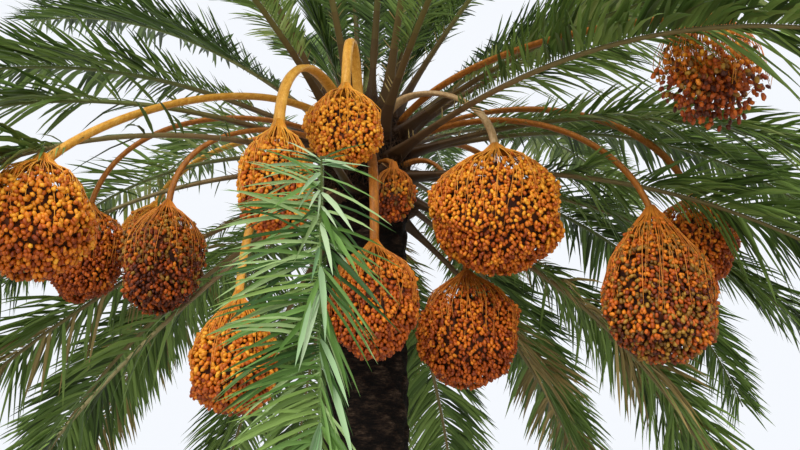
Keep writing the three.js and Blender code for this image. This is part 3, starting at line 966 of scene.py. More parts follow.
@dataclass
class Frond:
    """One feather frond: its rib, and how far its leaflets reach."""

    leaf: int  # its number, counted from the growing tip down
    age: float  # 0 for the youngest leaf and 1 for the oldest
    start: Array
    turn: float
    rise: float
    droop: float  # how far its end bends down
    sway: float  # how far its end bends aside
    roll: float  # how far its blade rolls over
    length: float
    young: float = 1  # its foot's size against a grown leaf's
    raised: float = 4  # how far leaflets stand up from the blade where it starts
    green: Green = Green.MID
    rib: RibKind = RibKind.MIDDLE
    origin: float = 0  # where on a whole rib this one starts
    colour_shift: float = 1.1  # how far on its colours start, against its origin
    petiole: float | None = None
    sides: tuple[Rows, Rows] = (((0, 1),), ((0, 1),))  # shares of the full length, on each side
    forward: tuple[Rows, Rows] = (LEAD, LEAD)
    spacing: float = 12.5  # between leaflets on one side
    leaflet_width: float = 22
    unruly: float = 1  # how much leaflets differ in their directions
    early: float = 0.66  # the share of the petiole's length that stays without leaflets
    crowded: Span = (1, 1)  # how thickly leaflets stand on each side, 1 for a full frond
    thinned: Rows = ((0, 1),)  # the share of its leaflets that it has kept, along its length
    slim: float = 1  # the rib's size against the solid's
    seat: Span = (0.4, 0.12)  # where leaflets join the rib, in shares of its width and depth
    kept: Teeth = field(default_factory=set)  # the teeth that its solid has
    steps: int = 60
    teeth: int = 16
    blade_end: float = 0.965
    bend: float = 1.35  # how late the droop comes
    rolled_by: float = 0.62  # the share of the length that the roll takes
    tooth_vary: Span = (0.9, 1.06)  # a tooth's share of the full length
    tooth_aside: float = 4  # how much further or less far forwards it leans
    tooth_tilt: float = 7  # how far every other tooth is raised, and the rest lowered
    hang: Span = (0.05, 0.17)  # how far leaflets' tips hang, against their length, by age
    line: RibLine = field(init=False)

    def __post_init__(self) -> None:
        """Works out the centre line."""
        u = np.arange(self.steps + 1) / self.steps
        turn = self.turn + self.sway * u * u
        roll = column(np.radians(self.roll * np.minimum(1, u / self.rolled_by)))
        along = heading(turn, self.rise - self.droop * u ** self.bend)
        level = heading(turn + 90, 0)
        across = level * np.cos(roll) + np.cross(along, level) * np.sin(roll)
        run = np.cumsum(along[:-1] * (self.length / self.steps), axis=0)
        points = self.start + np.concatenate([np.zeros((1, 3)), run])
        self.line = RibLine(points, along, across, np.cross(along, across))

    def end(self) -> Array:
        """Returns the rib's far end."""
        return self.line.at(1)[0]

    def blade_start(self) -> float:
        """Returns how far along the rib, as a share, the solid's blade begins."""
        return (PETIOLE * self.young if self.petiole is None else self.petiole) / self.length

    def on_blade(self, u: Array) -> Array:
        """Returns shares of the blade's length for shares u of the rib's."""
        return (u - self.blade_start()) / (self.blade_end - self.blade_start())

    def tooth_tip(self, k: int, side: int) -> Array:
        """Finds the far point of a tooth of the solid.

        Args:
            k: the tooth's number.
            side: 0 or 1.

        Returns:
            The point.
        """
        u = mix(self.blade_start(), self.blade_end, (k + 0.5) / self.teeth)
        vary = mix(*self.tooth_vary, chance(self.leaf, k, side, Luck.TOOTH_LENGTH))
        aside = self.tooth_aside * (chance(self.leaf, k, side, Luck.TOOTH_ASIDE) - 0.5)
        tilt = self.tooth_tilt if (k + side) % 2 else -self.tooth_tilt
        return self.tips(np.array([u]), side, vary, aside, tilt)[0]

    def tips(
        self, u: Array, side: int, vary: Array | float, aside: Array | float, tilt: Array | float,
    ) -> Array:
        """Works out leaflets' far points by the rule of the teeth.

        Args:
            u: shares of the rib's length.
            side: 0 or 1.
            vary: shares of the full length.
            aside: degrees added to how far they lean forwards.
            tilt: degrees added to how far they are raised.

        Returns:
            The points.
        """
        v = self.on_blade(u)
        p, t, b, n = self.line.at(u)
        long = TOOTH_LENGTH * ramp(TOOTH_SHAPE, v) * ramp(self.sides[side], v) * vary
        lead = np.radians(ramp(self.forward[side], v) + aside)
        lift = np.radians(self.raised * (1 - 0.5 * v) + tilt)
        outwards = -1 if side else 1
        way = (b * column(outwards * np.cos(lead) * np.cos(lift))
               + t * column(np.sin(lead) * np.cos(lift)) + n * column(np.sin(lift)))
        return p + way * column(long) - UP * column(long * mix(*self.hang, self.age))

    def size(self, u: Array) -> tuple[Array, Array]:
        """Works out the rib's size.

        Args:
            u: shares of its length.

        Returns:
            Its width and its depth there.
        """
        s = mix(self.origin, RIB_LENGTH, u)
        foot = np.where(s < YOUNG_FOOT, self.young, 1.0)
        clasp = 1.0 if self.origin else ramp(CLASP, s)
        wide = ramp(RIB_WIDTH, s) * foot * clasp
        deep = ramp(RIB_DEPTH, s) * (0.5 + 0.5 * foot) * (0.5 + 0.5 * clasp)
        return wide * self.slim, deep * self.slim

    def add_rib(self, sheaf: Sheaf, ribs: Palette) -> None:
        """Adds the rib to a piece, with its colour graded from the foot to the blade.

        Args:
            sheaf: the piece.
            ribs: its finishes.
        """
        near_end, far_start = (self.blade_start() + past for past in RIB_ROWS_MEET)
        near = np.array(RIB_ROWS_NEAR) / self.length
        far = np.linspace(far_start, 1, RIB_ROWS_FAR)
        u = np.concatenate([near[near < near_end], far])
        p, _, b, n = self.line.at(u)
        wide, deep = self.size(u)
        s = (u[:-1] + u[1:]) / 2 * self.length + self.origin * self.colour_shift
        grid = rings(p, b, n, wide / 2, deep / 2, RIB_SECTION)
        sheaf.sweep(grid[None], rib_tones(ribs, self.rib, s)[None], head=p[:1], tail=p[-1:])


@dataclass(frozen=True)
class Growth:
    """How a frond's lean, curve and size go with its age, by the solids' rule.

    A pair is the youngest leaf's value and the one that leaves have from the age in its _by on.
    """

    crown: Crown
    steepest: float = 0.9976  # the sine of the youngest leaf's rise
    sinking: float = 1.571  # how much that sine falls to the oldest leaf
    droop: Span = (16, 66)
    droop_by: float = 0.45
    stiff_from: float = 0.55  # the age from which leaves droop less again
    stiffer: float = 30
    droop_vary: float = 12
    sway: float = 14
    roll: Span = (8, 60)
    length: Span = (0.86, 1)
    length_by: float = 0.33
    length_vary: Span = (0.94, 1.05)
    young: float = 0.62  # the foot of a young leaf against a grown one's
    raised: Span = (30, 2)
    raised_by: float = 0.62

    def frond(self, i: int, attempt: int) -> Frond:
        """Works out a frond.

        Args:
            i: its number, counted from the growing tip down.
            attempt: which of the small changes of turn and rise it takes.

        Returns:
            The frond.
        """
        age = i / (self.crown.leaves - 1)
        point, out, turn = self.crown.slot(i)
        steer = STEERED.get(i, Steer())
        aside, up = TRIES[attempt]
        droop = steer.droop
        if droop is None:
            droop = (grown(self.droop, age, self.droop_by)
                     - self.stiffer * max(0.0, age - self.stiff_from)
                     + self.droop_vary * (chance(i, Luck.DROOP) - 0.5))
        rise = math.degrees(math.asin(self.steepest - self.sinking * age))
        share = grown(self.length, age, self.length_by)
        share = share * mix(*self.length_vary, chance(i, Luck.LENGTH))
        return Frond(
            leaf=i,
            age=age,
            start=point - out * SINK,
            turn=turn + steer.turn + aside,
            rise=rise + steer.rise + up,
            droop=droop,
            sway=self.sway * (chance(i, Luck.SWAY) - 0.5),
            roll=mix(*self.roll, age) * (chance(i, Luck.ROLL) - 0.5),
            length=RIB_LENGTH * share,
            young=self.young if i < self.crown.young else 1,
            raised=grown(self.raised, age, self.raised_by),
        )


# Leaflets, spines and the petiole in front


@dataclass(frozen=True)
class Blade:
    """The form of one leaflet, a folded strip that arches and twists."""

    outline: Rows = ((0, 0.35), (0.16, 0.92), (0.45, 1), (0.78, 0.6), (1, 0))
    arch: Span = (0.03, 0.075)  # how far its middle rises, against its length, by the frond's age
    lean: float = 0.25  # how far its face turns in towards the rib
    unsteady: float = 0.28  # how much faces differ
    twist: float = 0.5  # how far tips turn over, in radians
    fold: float = 0.55  # how far its edges stand up, against half its width
    full: float = 380  # the length from which it has its full width
    narrow: Span = (0.45, 1.1)  # the least and the greatest share of that width
    spray: int = 5  # how many neighbours share a shade

    def add(
        self,
        frond: Frond,
        sheaf: Sheaf,
        leaves: Palette,
        rng: np.random.Generator,
        u: Array,
        side: int,
        tip: Array,
        green: Green,
        width: float,
    ) -> None:
        """Adds one leaflet for each tip, from the rib's side.

        Args:
            frond: the frond that they are on.
            sheaf: the piece.
            leaves: its finishes.
            rng: where the draws come from.
            u: where they join the rib, in shares of its length.
            side: 0 or 1.
            tip: their far points.
            green: their greens.
            width: their full width.
        """
        count = len(u)
        s, share = np.array(self.outline).T
        p, _, b, n = frond.line.at(u)
        b = -b if side else b
        wide, deep = frond.size(u)
        root = p + b * column(wide * frond.seat[0]) + n * column(deep * frond.seat[1])
        chord = tip - root
        long = np.linalg.norm(chord, axis=-1)
        way = unit(chord)
        face = square_to(n + rng.normal(0, self.unsteady, (count, 3)) - b * self.lean, way)
        rise = np.outer(long * mix(*self.arch, frond.age), 4 * s * (1 - s))
        spine = root[:, None] + chord[:, None] * column(s) + UP * column(rise)
        across = np.cross(way, face)
        twist = np.outer(rng.normal(0, self.twist, count), s)
        flat = across[:, None] * column(np.cos(twist)) + face[:, None] * column(np.sin(twist))
        up = face[:, None] * column(np.cos(twist)) - across[:, None] * column(np.sin(twist))
        half = column(np.outer(np.clip(long / self.full, *self.narrow), share * width / 2))
        edge = spine + up * half * self.fold
        rows = np.stack([edge - flat * half, spine, edge + flat * half], axis=2)
        spray = np.arange(count) // self.spray
        shade = rng.integers(0, len(green.value), spray.max() + 1)[spray]
        tone = leaves.deal_groups(rng, [(name,) for name in green.value], shade)
        sheaf.sweep(rows[:, :-1], tone, wrap=False, tail=spine[:, -1])


@dataclass(frozen=True)
class Leaflets:
    """The leaflets along both sides of a frond."""

    blade: Blade = field(default_factory=Blade)
    seed: int = 100
    last: float = 0.985  # where the last one joins the rib, as a share of the way to its end
    uneven: float = 0.3  # how far they are off their even places, against their spacing
    spray: int = 4  # how many neighbours lean forwards together
    planes: tuple[float, ...] = (-14.0, 0.0, 14.0)  # how far they are raised, one of these
    plane_vary: float = 4
    aside_vary: float = 5
    length_vary: Span = (0.82, 1.04)
    clear: float = 0.5  # the share of their length where the solid's tooth was left out

    def add(self, frond: Frond, sheaf: Sheaf, leaves: Palette, box: Corners) -> None:
        """Adds a frond's leaflets to a piece.

        Args:
            frond: the frond.
            sheaf: the piece.
            leaves: its finishes.
            box: the corners that tips may reach.
        """
        rng = np.random.default_rng(self.seed + frond.leaf)
        first = frond.blade_start() * frond.early
        blade = 1 - first
        count = int(frond.length * blade / frond.spacing)
        spray = np.arange(count) // self.spray
        for side in (0, 1):
            shift = rng.uniform(-self.uneven, self.uneven, count)
            u = first + blade * self.last * (np.arange(count) + 0.5 + shift) / count
            stays = rng.random(count) < frond.crowded[side] * ramp(frond.thinned, u)
            tooth = np.clip(frond.on_blade(u) * frond.teeth, 0, frond.teeth - 1).astype(int)
            full = np.array([(k, side) in frond.kept for k in tooth])
            plane = rng.choice(self.planes, count) + rng.normal(0, self.plane_vary, count)
            vary = rng.uniform(*self.length_vary, count) * np.where(full, 1, self.clear)
            aside = rng.normal(0, self.aside_vary, count)
            aside += rng.uniform(-self.aside_vary, self.aside_vary, spray.max() + 1)[spray]
            tip = frond.tips(u, side, vary, aside * frond.unruly, plane * frond.unruly)
            self.blade.add(
                frond, sheaf, leaves, rng, u[stays], side, np.clip(tip, *box)[stays], frond.green,
                frond.leaflet_width)


@dataclass(frozen=True)
class MiddleRank:
    """The pale leaflets that stand out of a rib's face, fold over and hang.

    In a pair of spans the first one is for those that hang, and the second one is for the few that
    stand round the rib's start.
    """

    blade: Blade = field(default_factory=Blade)
    seed: int = 600
    hanging: int = 26  # on each side
    standing: int = 7
    place: tuple[Span, Span] = ((0.03, 0.92), (0, 0.03))
    along: tuple[Span, Span] = ((0.7, 1), (-0.55, 0.3))
    outwards: tuple[Span, Span] = ((0.2, 0.7), (0, 0.5))
    sideways: tuple[Span, Span] = ((0.02, 0.75), (0.5, 1))
    length: tuple[Span, Span] = ((150, 360), (110, 240))
    drop: float = 0.22  # how far tips hang, against their length
    width: float = 23

    def add(self, frond: Frond, sheaf: Sheaf, leaves: Palette, box: Corners) -> None:
        """Adds the leaflets to a piece.

        Args:
            frond: the frond.
            sheaf: the piece.
            leaves: its finishes.
            box: the corners that tips may reach.
        """
        rng = np.random.default_rng(self.seed + frond.leaf)
        count = self.hanging + self.standing
        hangs = np.arange(count) < self.hanging

        def draw(spans: tuple[Span, Span]) -> Array:
            """Returns a number for each leaflet, from the span for its kind."""
            return np.where(hangs, *(rng.uniform(*span, count) for span in spans))

        for side in (0, 1):
            u = np.concatenate([
                rng.uniform(*self.place[0], self.hanging),
                rng.uniform(*self.place[1], self.standing)])
            p, t, b, n = frond.line.at(u)
            b = -b if side else b
            way = t * column(draw(self.along)) + n * column(draw(self.outwards))
            way = unit(way + b * column(draw(self.sideways)))
            long = draw(self.length)
            tip = np.clip(p + way * column(long) - UP * column(self.drop * long), *box)
            self.blade.add(frond, sheaf, leaves, rng, u, side, tip, Green.SILVER, self.width)


@dataclass(frozen=True)
class Spines:
    """The stiff spines that stand where a petiole's leaflets would be."""

    seed: int = 500
    count: int = 5  # on each side
    place: Span = (0.24, 0.8)  # in shares of the petiole
    length: Span = (45, 85)
    longer: Span = (0.6, 1.2)  # from the petiole's foot to its end
    seat: float = 0.45  # where they join the petiole, in shares of its width
    lean: float = 0.75  # how far they lean forwards and out, against how far they lift
    lift: Span = (-0.1, 0.6)
    half: float = 3.2
    shoulder: Span = (0.4, 0.7)  # how far along a spine it is still this thick

    def add(self, frond: Frond, sheaf: Sheaf, leaves: Palette) -> None:
        """Adds a frond's spines to a piece.

        Args:
            frond: the frond.
            sheaf: the piece.
            leaves: its finishes.
        """
        rng = np.random.default_rng(self.seed + frond.leaf)
        for side in (0, 1):
            place = rng.uniform(*self.place, self.count)
            p, t, b, n = frond.line.at(place * frond.blade_start())
            b = -b if side else b
            wide, _ = frond.size(place * frond.blade_start())
            root = p + b * column(wide * self.seat)
            way = unit((b + t) * self.lean + n * column(rng.uniform(*self.lift, self.count)))
            long = rng.uniform(*self.length, self.count) * mix(*self.longer, place) * frond.young
            flat = square_to(n, way)
            spoke = spokes(flat, np.cross(way, flat), around(4)) * self.half
            centre = (root + way * column(long * self.shoulder[0]))[:, None]
            grid = np.stack([root[:, None] + spoke, centre + spoke * self.shoulder[1]], axis=1)
            tone = leaves.deal(rng, ("dry",), self.count)
            sheaf.sweep(grid, tone, tail=root + way * column(long))


@dataclass(frozen=True)
class FrontPetiole:
    """The petiole of the frond in front, which comes forward to a knee where its blade drops."""

    crown: Crown
    leaf: int = 50
    marks: tuple[tuple[float, float, float], ...] = ((-40, -640, 3010), (-70, -1250, 2870))
    knee: tuple[float, float, float] = (-83, -1640, 2722)
    width: Rows = ((0, 120), (0.08, 70), (0.3, 44), (0.9, 28), (1, 20))
    depth: Rows = ((0, 60), (0.08, 42), (0.3, 34), (0.9, 24), (1, 16))
    rows: int = 40
    fine: int = 60  # points of its curve between two marks
    graded: float = 0.62  # how far it goes through a rib's colours

    def add(self, sheaf: Sheaf, ribs: Palette) -> None:
        """Adds the petiole to a piece.

        Args:
            sheaf: the piece.
            ribs: its finishes.
        """
        point, out, _ = self.crown.slot(self.leaf)
        marks = np.array([point - out * SINK, *self.marks, self.knee])
        u = np.linspace(0, 1, self.rows)
        p = along_curve(curve_through(marks, self.fine), u)
        t = unit(np.gradient(p, axis=0))
        across = square_to(np.array([1.0, 0.0, 0.0]), t)
        wide, deep = ramp(self.width, u) / 2, ramp(self.depth, u) / 2
        grid = rings(p, across, np.cross(t, across), wide, deep, RIB_SECTION)
        tone = rib_tones(ribs, RibKind.FRONT, u[:-1] * self.graded * RIB_GRADED)
        sheaf.sweep(grid[None], tone[None], head=p[:1], tail=p[-1:])


@dataclass(frozen=True)
class Foliage:
    """All fronds: their ribs, leaflets and spines, over the solids' fronds."""

    crown: Crown
    nodes: dict[str, bpy.types.Object]
    box: Corners
    bare: tuple[int, ...] = (29, 37, 42)  # leaf bases cut for the fruit
    front_leaf: int = 50
    dead_leaf: int = 47
    pieces: int = 3
    front_sunk: float = 12  # how far behind its petiole's knee the front blade starts
    spacing: Span = (7.6, 11)  # from the youngest frond to those of the age in spacing_by
    spacing_by: float = 0.6
    leaflet_width: Span = (25.5, 20)
    width_by: float = 0.5
    early: Span = (0.5, 0.7)
    early_by: float = 0.5
    fresh_until: float = 0.25  # the age up to which a frond has fresh greens
    old_from: float = 0.6

    def solid_points(self) -> KDTree:
        """Gathers the points of the fronds' solids.

        Returns:
            The points, in metres, for a search by place.
        """
        blocks = []
        for name, node in self.nodes.items():
            if name.startswith("frond"):
                block = np.empty(len(node.data.vertices) * 3, np.float32)
                node.data.vertices.foreach_get("co", block)
                blocks.append(block.reshape(-1, 3))
        points = np.concatenate(blocks)
        tree = KDTree(len(points))
        for k, point in enumerate(points):
            tree.insert(point, k)
        tree.balance()
        return tree

    def front_blade(self) -> Frond:
        """Sets out the blade of the frond in front, which drops from its petiole's knee.

        Returns:
            The blade, as a frond of its own.
        """
        return Frond(
            leaf=self.front_leaf,
            age=0.4,
            start=np.array(FrontPetiole(self.crown).knee) + np.array([0, self.front_sunk, 0]),
            turn=-83,
            rise=-66,
            droop=26,
            sway=34,
            roll=0,
            length=1720,
            green=Green.FRONT,
            rib=RibKind.FRONT,
            origin=660,
            petiole=66,
            sides=FRONT_SIDES,
            forward=FRONT_LEAD,
            spacing=8.5,
            leaflet_width=14,
            unruly=1.7,
            crowded=(0.36, 1),
            slim=0.6,
            seat=(0.15, 0.5),
        )

    def find(self) -> list[Frond]:
        """Grows and dresses each frond on its solid's try, and finds the teeth that the solid has.

        Returns:
            The fronds, with the one in front last.
        """
        tree = self.solid_points()
        growth = Growth(self.crown)

        def there(point: Array) -> bool:
            """Tells whether a solid has this point."""
            return tree.find(point * MM)[2] < MATCH

        fronds = []
        for i in range(self.crown.leaves):
            if i in self.bare or i == self.front_leaf:
                continue
            for attempt in range(len(TRIES)):
                frond = growth.frond(i, attempt)
                if there(frond.end()):
                    self.dress(frond)
                    fronds.append(frond)
                    break
        fronds.append(self.front_blade())
        for frond in fronds:
            frond.kept = {(k, side) for k in range(frond.teeth) for side in (0, 1)
                          if there(frond.tooth_tip(k, side))}
        return fronds

    def dress(self, frond: Frond) -> None:
        """Gives a frond its leaflets' sizes, its greens and its rib's colours by age.

        Args:
            frond: any frond but the one in front.
        """
        frond.thinned = THINNED.get(frond.leaf, frond.thinned)
        frond.spacing = grown(self.spacing, frond.age, self.spacing_by)
        frond.leaflet_width = grown(self.leaflet_width, frond.age, self.width_by)
        frond.early = grown(self.early, frond.age, self.early_by)
        if frond.age < self.fresh_until:
            frond.green, frond.rib = Green.FRESH, RibKind.YOUNG
        elif frond.age < self.old_from:
            frond.green, frond.rib = (Green.MID if frond.leaf % 2 else Green.DEEP), RibKind.MIDDLE
        else:
            frond.green, frond.rib = (Green.DEEP if frond.leaf % 3 else Green.OLD), RibKind.OLD
        if frond.leaf == self.dead_leaf:
            frond.rib = RibKind.DEAD

    def build(self) -> set[int]:
        """Makes the ribs and the leaflets in place of the fronds' solids.

        Returns:
            The numbers of the leaf bases that have a frond.
        """
        leaves = Palette.of("leaf", LEAF_COLOURS, roughness=0.5, shine=0.25)
        rib_colours = {kind: graded(marks, RIB_STEPS) for kind, marks in RIB_MARKS.items()}
        ribs = Palette.of("rib", rib_colours, roughness=0.55, shine=0.25)
        leaflets, middle_rank, spines = Leaflets(), MiddleRank(), Spines()
        rib_sheaf = Sheaf()
        leaf_sheaves = [Sheaf() for _ in range(self.pieces)]
        fronds = self.find()
        LOG.info("%d fronds", len(fronds))
        for k, frond in enumerate(fronds):
            leaf_sheaf = leaf_sheaves[k * self.pieces // len(fronds)]
            frond.add_rib(rib_sheaf, ribs)
            leaflets.add(frond, leaf_sheaf, leaves, self.box)
            if frond.leaf == self.front_leaf:
                middle_rank.add(frond, leaf_sheaf, leaves, self.box)
            else:
                spines.add(frond, leaf_sheaf, leaves)
        FrontPetiole(self.crown).add(rib_sheaf, ribs)
        rib_piece = rib_sheaf.build("frond_ribs", ribs.finishes)
        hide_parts(*(name for name in self.nodes if name.startswith("frond")))
        for k, leaf_sheaf in enumerate(leaf_sheaves):
            leaf_sheaf.build(f"leaflets_{k + 1}", leaves.finishes)
        return {frond.leaf for frond in fronds}


# The growing tip and the cut leaf bases


@dataclass(frozen=True)
class CutBases:
    """The leaf bases that have no frond, cut stubs that clasp the crown."""

    crown: Crown
    below: int = 6  # how many more there are under the last leaf
    seed: int = 300
    length: Span = (70, 120)
    sunk: float = 20  # how far inside the crown they start
    steep: float = 0.55  # how far they run up, against how far they run out
    width: Span = (138, 84)
    depth: Span = (58, 40)
    rows: int = 8
    cut_ring: float = 0.5  # how large the cut's inner ring is
    cut_crown: float = 2  # how far its middle stands out

    def build(self, grown_out: set[int]) -> None:
        """Makes the stubs.

        Args:
            grown_out: the numbers of the leaf bases that have a frond.
        """
        sheaf = Sheaf()
        u = np.linspace(0, 1, self.rows)
        for i in range(self.crown.young, self.crown.leaves + self.below):
            if i in grown_out:
                continue
            point, out, _ = self.crown.slot(i)
            way = unit(out + UP * self.steep)
            across = unit(np.cross(out, UP))
            long = np.random.default_rng(self.seed + i).uniform(*self.length)
            p = point - out * self.sunk + way * column(u * long)
            wide, deep = mix(*self.width, u) / 2, mix(*self.depth, u) / 2
            grid = rings(p, across, np.cross(way, across), wide, deep, RIB_SECTION)
            sheaf.sweep(grid[None], 0, head=p[:1])
            cut = np.stack([grid[-1], mix(p[-1], grid[-1], self.cut_ring)])
            sheaf.sweep(cut[None], 1, tail=p[-1:] + way * self.cut_crown)
        sheaf.build("leaf_bases", [FIBRE.make(), CUT.make()])


@dataclass(frozen=True)
class CrownFibre:
    """Fibre between the leaf bases, and the ribbed cap of fibre over the growing tip."""

    crown: Crown
    seed: int = 41
    threads: int = 1500
    places: Span = (3, 58)  # between which leaf bases they start
    length: Span = (60, 190)
    clear: float = 4  # how far off the crown they start
    stand_off: Span = (6, 44)  # how much further off they end
    upwards: Span = (0.2, 1)  # how far they run up, against how far they run aside
    half: float = 2.0  # half a thread's thickness
    taper: float = 0.6  # how much thinner it ends
    section: Rows = ((1, 0), (-0.5, 0.8), (-0.5, -0.8))
    rows: int = 4
    cap_reach: float = 36  # how far down the dome the cap comes
    cap_rows: Rows = (  # shares of its reach, and how far off the dome it is there
        (1, -20), (1, 22), (0.86, 40), (0.7, 46), (0.52, 46), (0.36, 46), (0.2, 46), (0.08, 46),
    )
    cap_columns: int = 72
    folds: int = 18
    fold: float = 3.5  # how far its folds stand out

    def add_threads(self, sheaf: Sheaf) -> None:
        """Adds the loose threads.

        Args:
            sheaf: the piece.
        """
        rng = np.random.default_rng(self.seed)
        crown, count = self.crown, self.threads
        climb = crown.climb(rng.uniform(*self.places, count))
        turn = rng.uniform(0, 360, count)
        rise = np.where(climb > 0, 90 - np.degrees(np.arccos(np.clip(climb, -1, 1))), 0)
        out = heading(turn, rise)
        z = crown.shoulder + np.minimum(0, climb * crown.on_dome * crown.step)
        root = out * crown.radius + UP * column(z)
        way = unit(np.cross(UP, out) * column(rng.normal(0, 1, count))
                   + UP * column(rng.uniform(*self.upwards, count)))
        long = rng.uniform(*self.length, count)
        s = np.linspace(0, 1, self.rows)
        off = self.clear + np.outer(rng.uniform(*self.stand_off, count), s * (2 - s))
        path = root[:, None] + way[:, None] * column(np.outer(long, s)) + out[:, None] * column(off)
        t = unit(np.gradient(path, axis=1))
        wide = square_to(np.broadcast_to(out[:, None], t.shape), t)
        other = np.cross(t, wide)
        ring = np.stack([wide * x + other * y for x, y in self.section], axis=2)
        half = self.half * (1 - self.taper * s)
        sheaf.sweep(path[:, :, None] + ring * half[:, None, None], tail=path[:, -1])

    def add_cap(self, sheaf: Sheaf) -> None:
        """Adds the ribbed cap.

        Args:
            sheaf: the piece.
        """
        share, off = np.array(self.cap_rows).T[..., None]
        tilt = math.radians(self.cap_reach) * share
        a = around(self.cap_columns)
        folded = (self.crown.radius + off + self.fold * np.cos(a * self.folds)) * np.sin(tilt)
        z = self.crown.shoulder + (self.crown.radius + off) * np.cos(tilt) + 0 * a
        grid = np.stack([folded * np.cos(a), folded * np.sin(a), z], axis=-1)
        top = UP[None] * (self.crown.shoulder + self.crown.radius + off[-1])
        sheaf.sweep(grid[None], tail=top)

    def build(self) -> None:
        """Makes the fibre."""
        sheaf = Sheaf()
        self.add_threads(sheaf)
        self.add_cap(sheaf)
        sheaf.build("crown_fibre", [FIBRE.make()])


@dataclass(frozen=True)
class Spear:
    """The unopened leaf, a pleated spike that stands in the growing tip."""

    crown: Crown
    length: float = 1650
    sunk: float = 20
    half: Rows = ((0, 34), (260, 26), (900, 20), (1650, 5))
    rows: int = 40
    columns: int = 24
    pleat: float = 0.22  # how deep its pleats are, against its thickness
    twist: float = 0.0006  # radians in a millimetre

    def build(self) -> None:
        """Makes the spear."""
        foot = self.crown.shoulder + self.crown.radius - self.sunk
        z = np.linspace(0, self.length, self.rows)[:, None]
        r = ramp(self.half, z) * (1 - self.pleat * (np.arange(self.columns) % 2))
        a = around(self.columns) + self.twist * z
        grid = np.stack([r * np.cos(a), r * np.sin(a), foot + z + 0 * a], axis=-1)
        sheaf = Sheaf()
        sheaf.sweep(grid[None], head=UP[None] * foot, tail=UP[None] * (foot + self.length))
        sheaf.build("spear_leaf", [SPEAR.make()])


# Fruit

ROUND: Rows = (
    (0, 0.1), (0.05, 0.36), (0.15, 0.7), (0.3, 0.92), (0.48, 1), (0.68, 0.97), (0.84, 0.78),
    (0.95, 0.46), (1, 0.16),
)
PEAR: Rows = (
    (0, 0.1), (0.06, 0.27), (0.17, 0.52), (0.32, 0.78), (0.5, 0.95), (0.66, 1), (0.84, 0.84),
    (0.95, 0.5), (1, 0.16),
)


@dataclass(frozen=True)
class Bunch:
    """A fruit bunch's place and outline, and its stalk's way to it, by the solids' rule."""

    letter: str
    key: int
    leaf: int  # the leaf base that the stalk comes out over
    lift: float
    slide: float
    arch: Span  # how far forwards and up the stalk sets off
    hang: float  # how far above its end the stalk comes down from
    lean: float
    end: tuple[float, float, float]
    width: float  # the stalk's
    size: tuple[float, float, float]  # half its width each way, and its height
    ripeness_and_shade: RipenessAndShade
    stalk: StalkKind
    outline: Rows = ROUND
    cover: float = 1.0  # how thickly dates sit, 1 for a full bunch
    loose: float = 0.0  # how far its dates hang apart, 0 for a packed bunch
    sides: int = 12
    rings: int = 8
    lump: float = 0.24  # how far its solid's points may lie further in
    drop: float = 0.03  # how far they may lie higher or lower, against its height
    gap: float = 0.4  # between it and its stalk
    faced_from: float = 0.52  # how far down its axis its surface faces away from

    def cage(self) -> Array:
        """Works out the points of the solid.

        Returns:
            Its rings of points, of shape (rings + 1, sides, 3).
        """
        rx, ry, height = self.size
        x, y, top = self.end
        points = np.empty((self.rings + 1, self.sides, 3))
        for j in range(self.rings + 1):
            v = 0.5 - 0.5 * math.cos(math.pi * j / self.rings)
            inner = 1 if j % self.rings else 0
            for i in range(self.sides):
                a = (i + (j % 2) * 0.5) / self.sides * FULL_TURN
                lump = inner * self.lump * chance(i, j, self.key, Luck.LUMP)
                r = ramp(self.outline, v) * (1 - lump)
                sink = inner * self.drop * height * (chance(i, j, self.key, Luck.DROP) - 0.5)
                z = top - self.gap - v * height + sink
                points[j, i] = (x + rx * r * math.cos(a), y + ry * r * math.sin(a), z)
        return points

    def middle(self, share: float) -> Array:
        """Returns the point on its axis that is this share of its height under the neck."""
        return np.array(self.end) - UP * (self.size[2] * share)

    def surface(self, v: Array, a: Array) -> tuple[Array, Array]:
        """Finds places on the bunch.

        Args:
            v: shares of its height, from the neck down.
            a: angles round it, in radians.

        Returns:
            The points, and the directions that face outwards there.
        """
        cage = self.cage()
        row = np.arccos(np.clip(1 - 2 * v, -1, 1)) / math.pi * self.rings
        j = np.clip(row.astype(int), 0, self.rings - 1)

        def ring_point(ring: Array) -> Array:
            """Finds the points at the angles on rings of the solid.

            Args:
                ring: the rings' numbers, one for each angle.

            Returns:
                The points.
            """
            place = a / FULL_TURN * self.sides - (ring % 2) * 0.5
            i = np.floor(place).astype(int)
            share = column(place - i)
            here, there = cage[ring, i % self.sides], cage[ring, (i + 1) % self.sides]
            return here * (1 - share) + there * share

        share = column(row - j)
        point = ring_point(j) * (1 - share) + ring_point(j + 1) * share
        rx, ry, height = self.size
        radii = np.array([rx, ry, height / 2])
        return point, unit((point - self.middle(self.faced_from)) / radii ** 2)


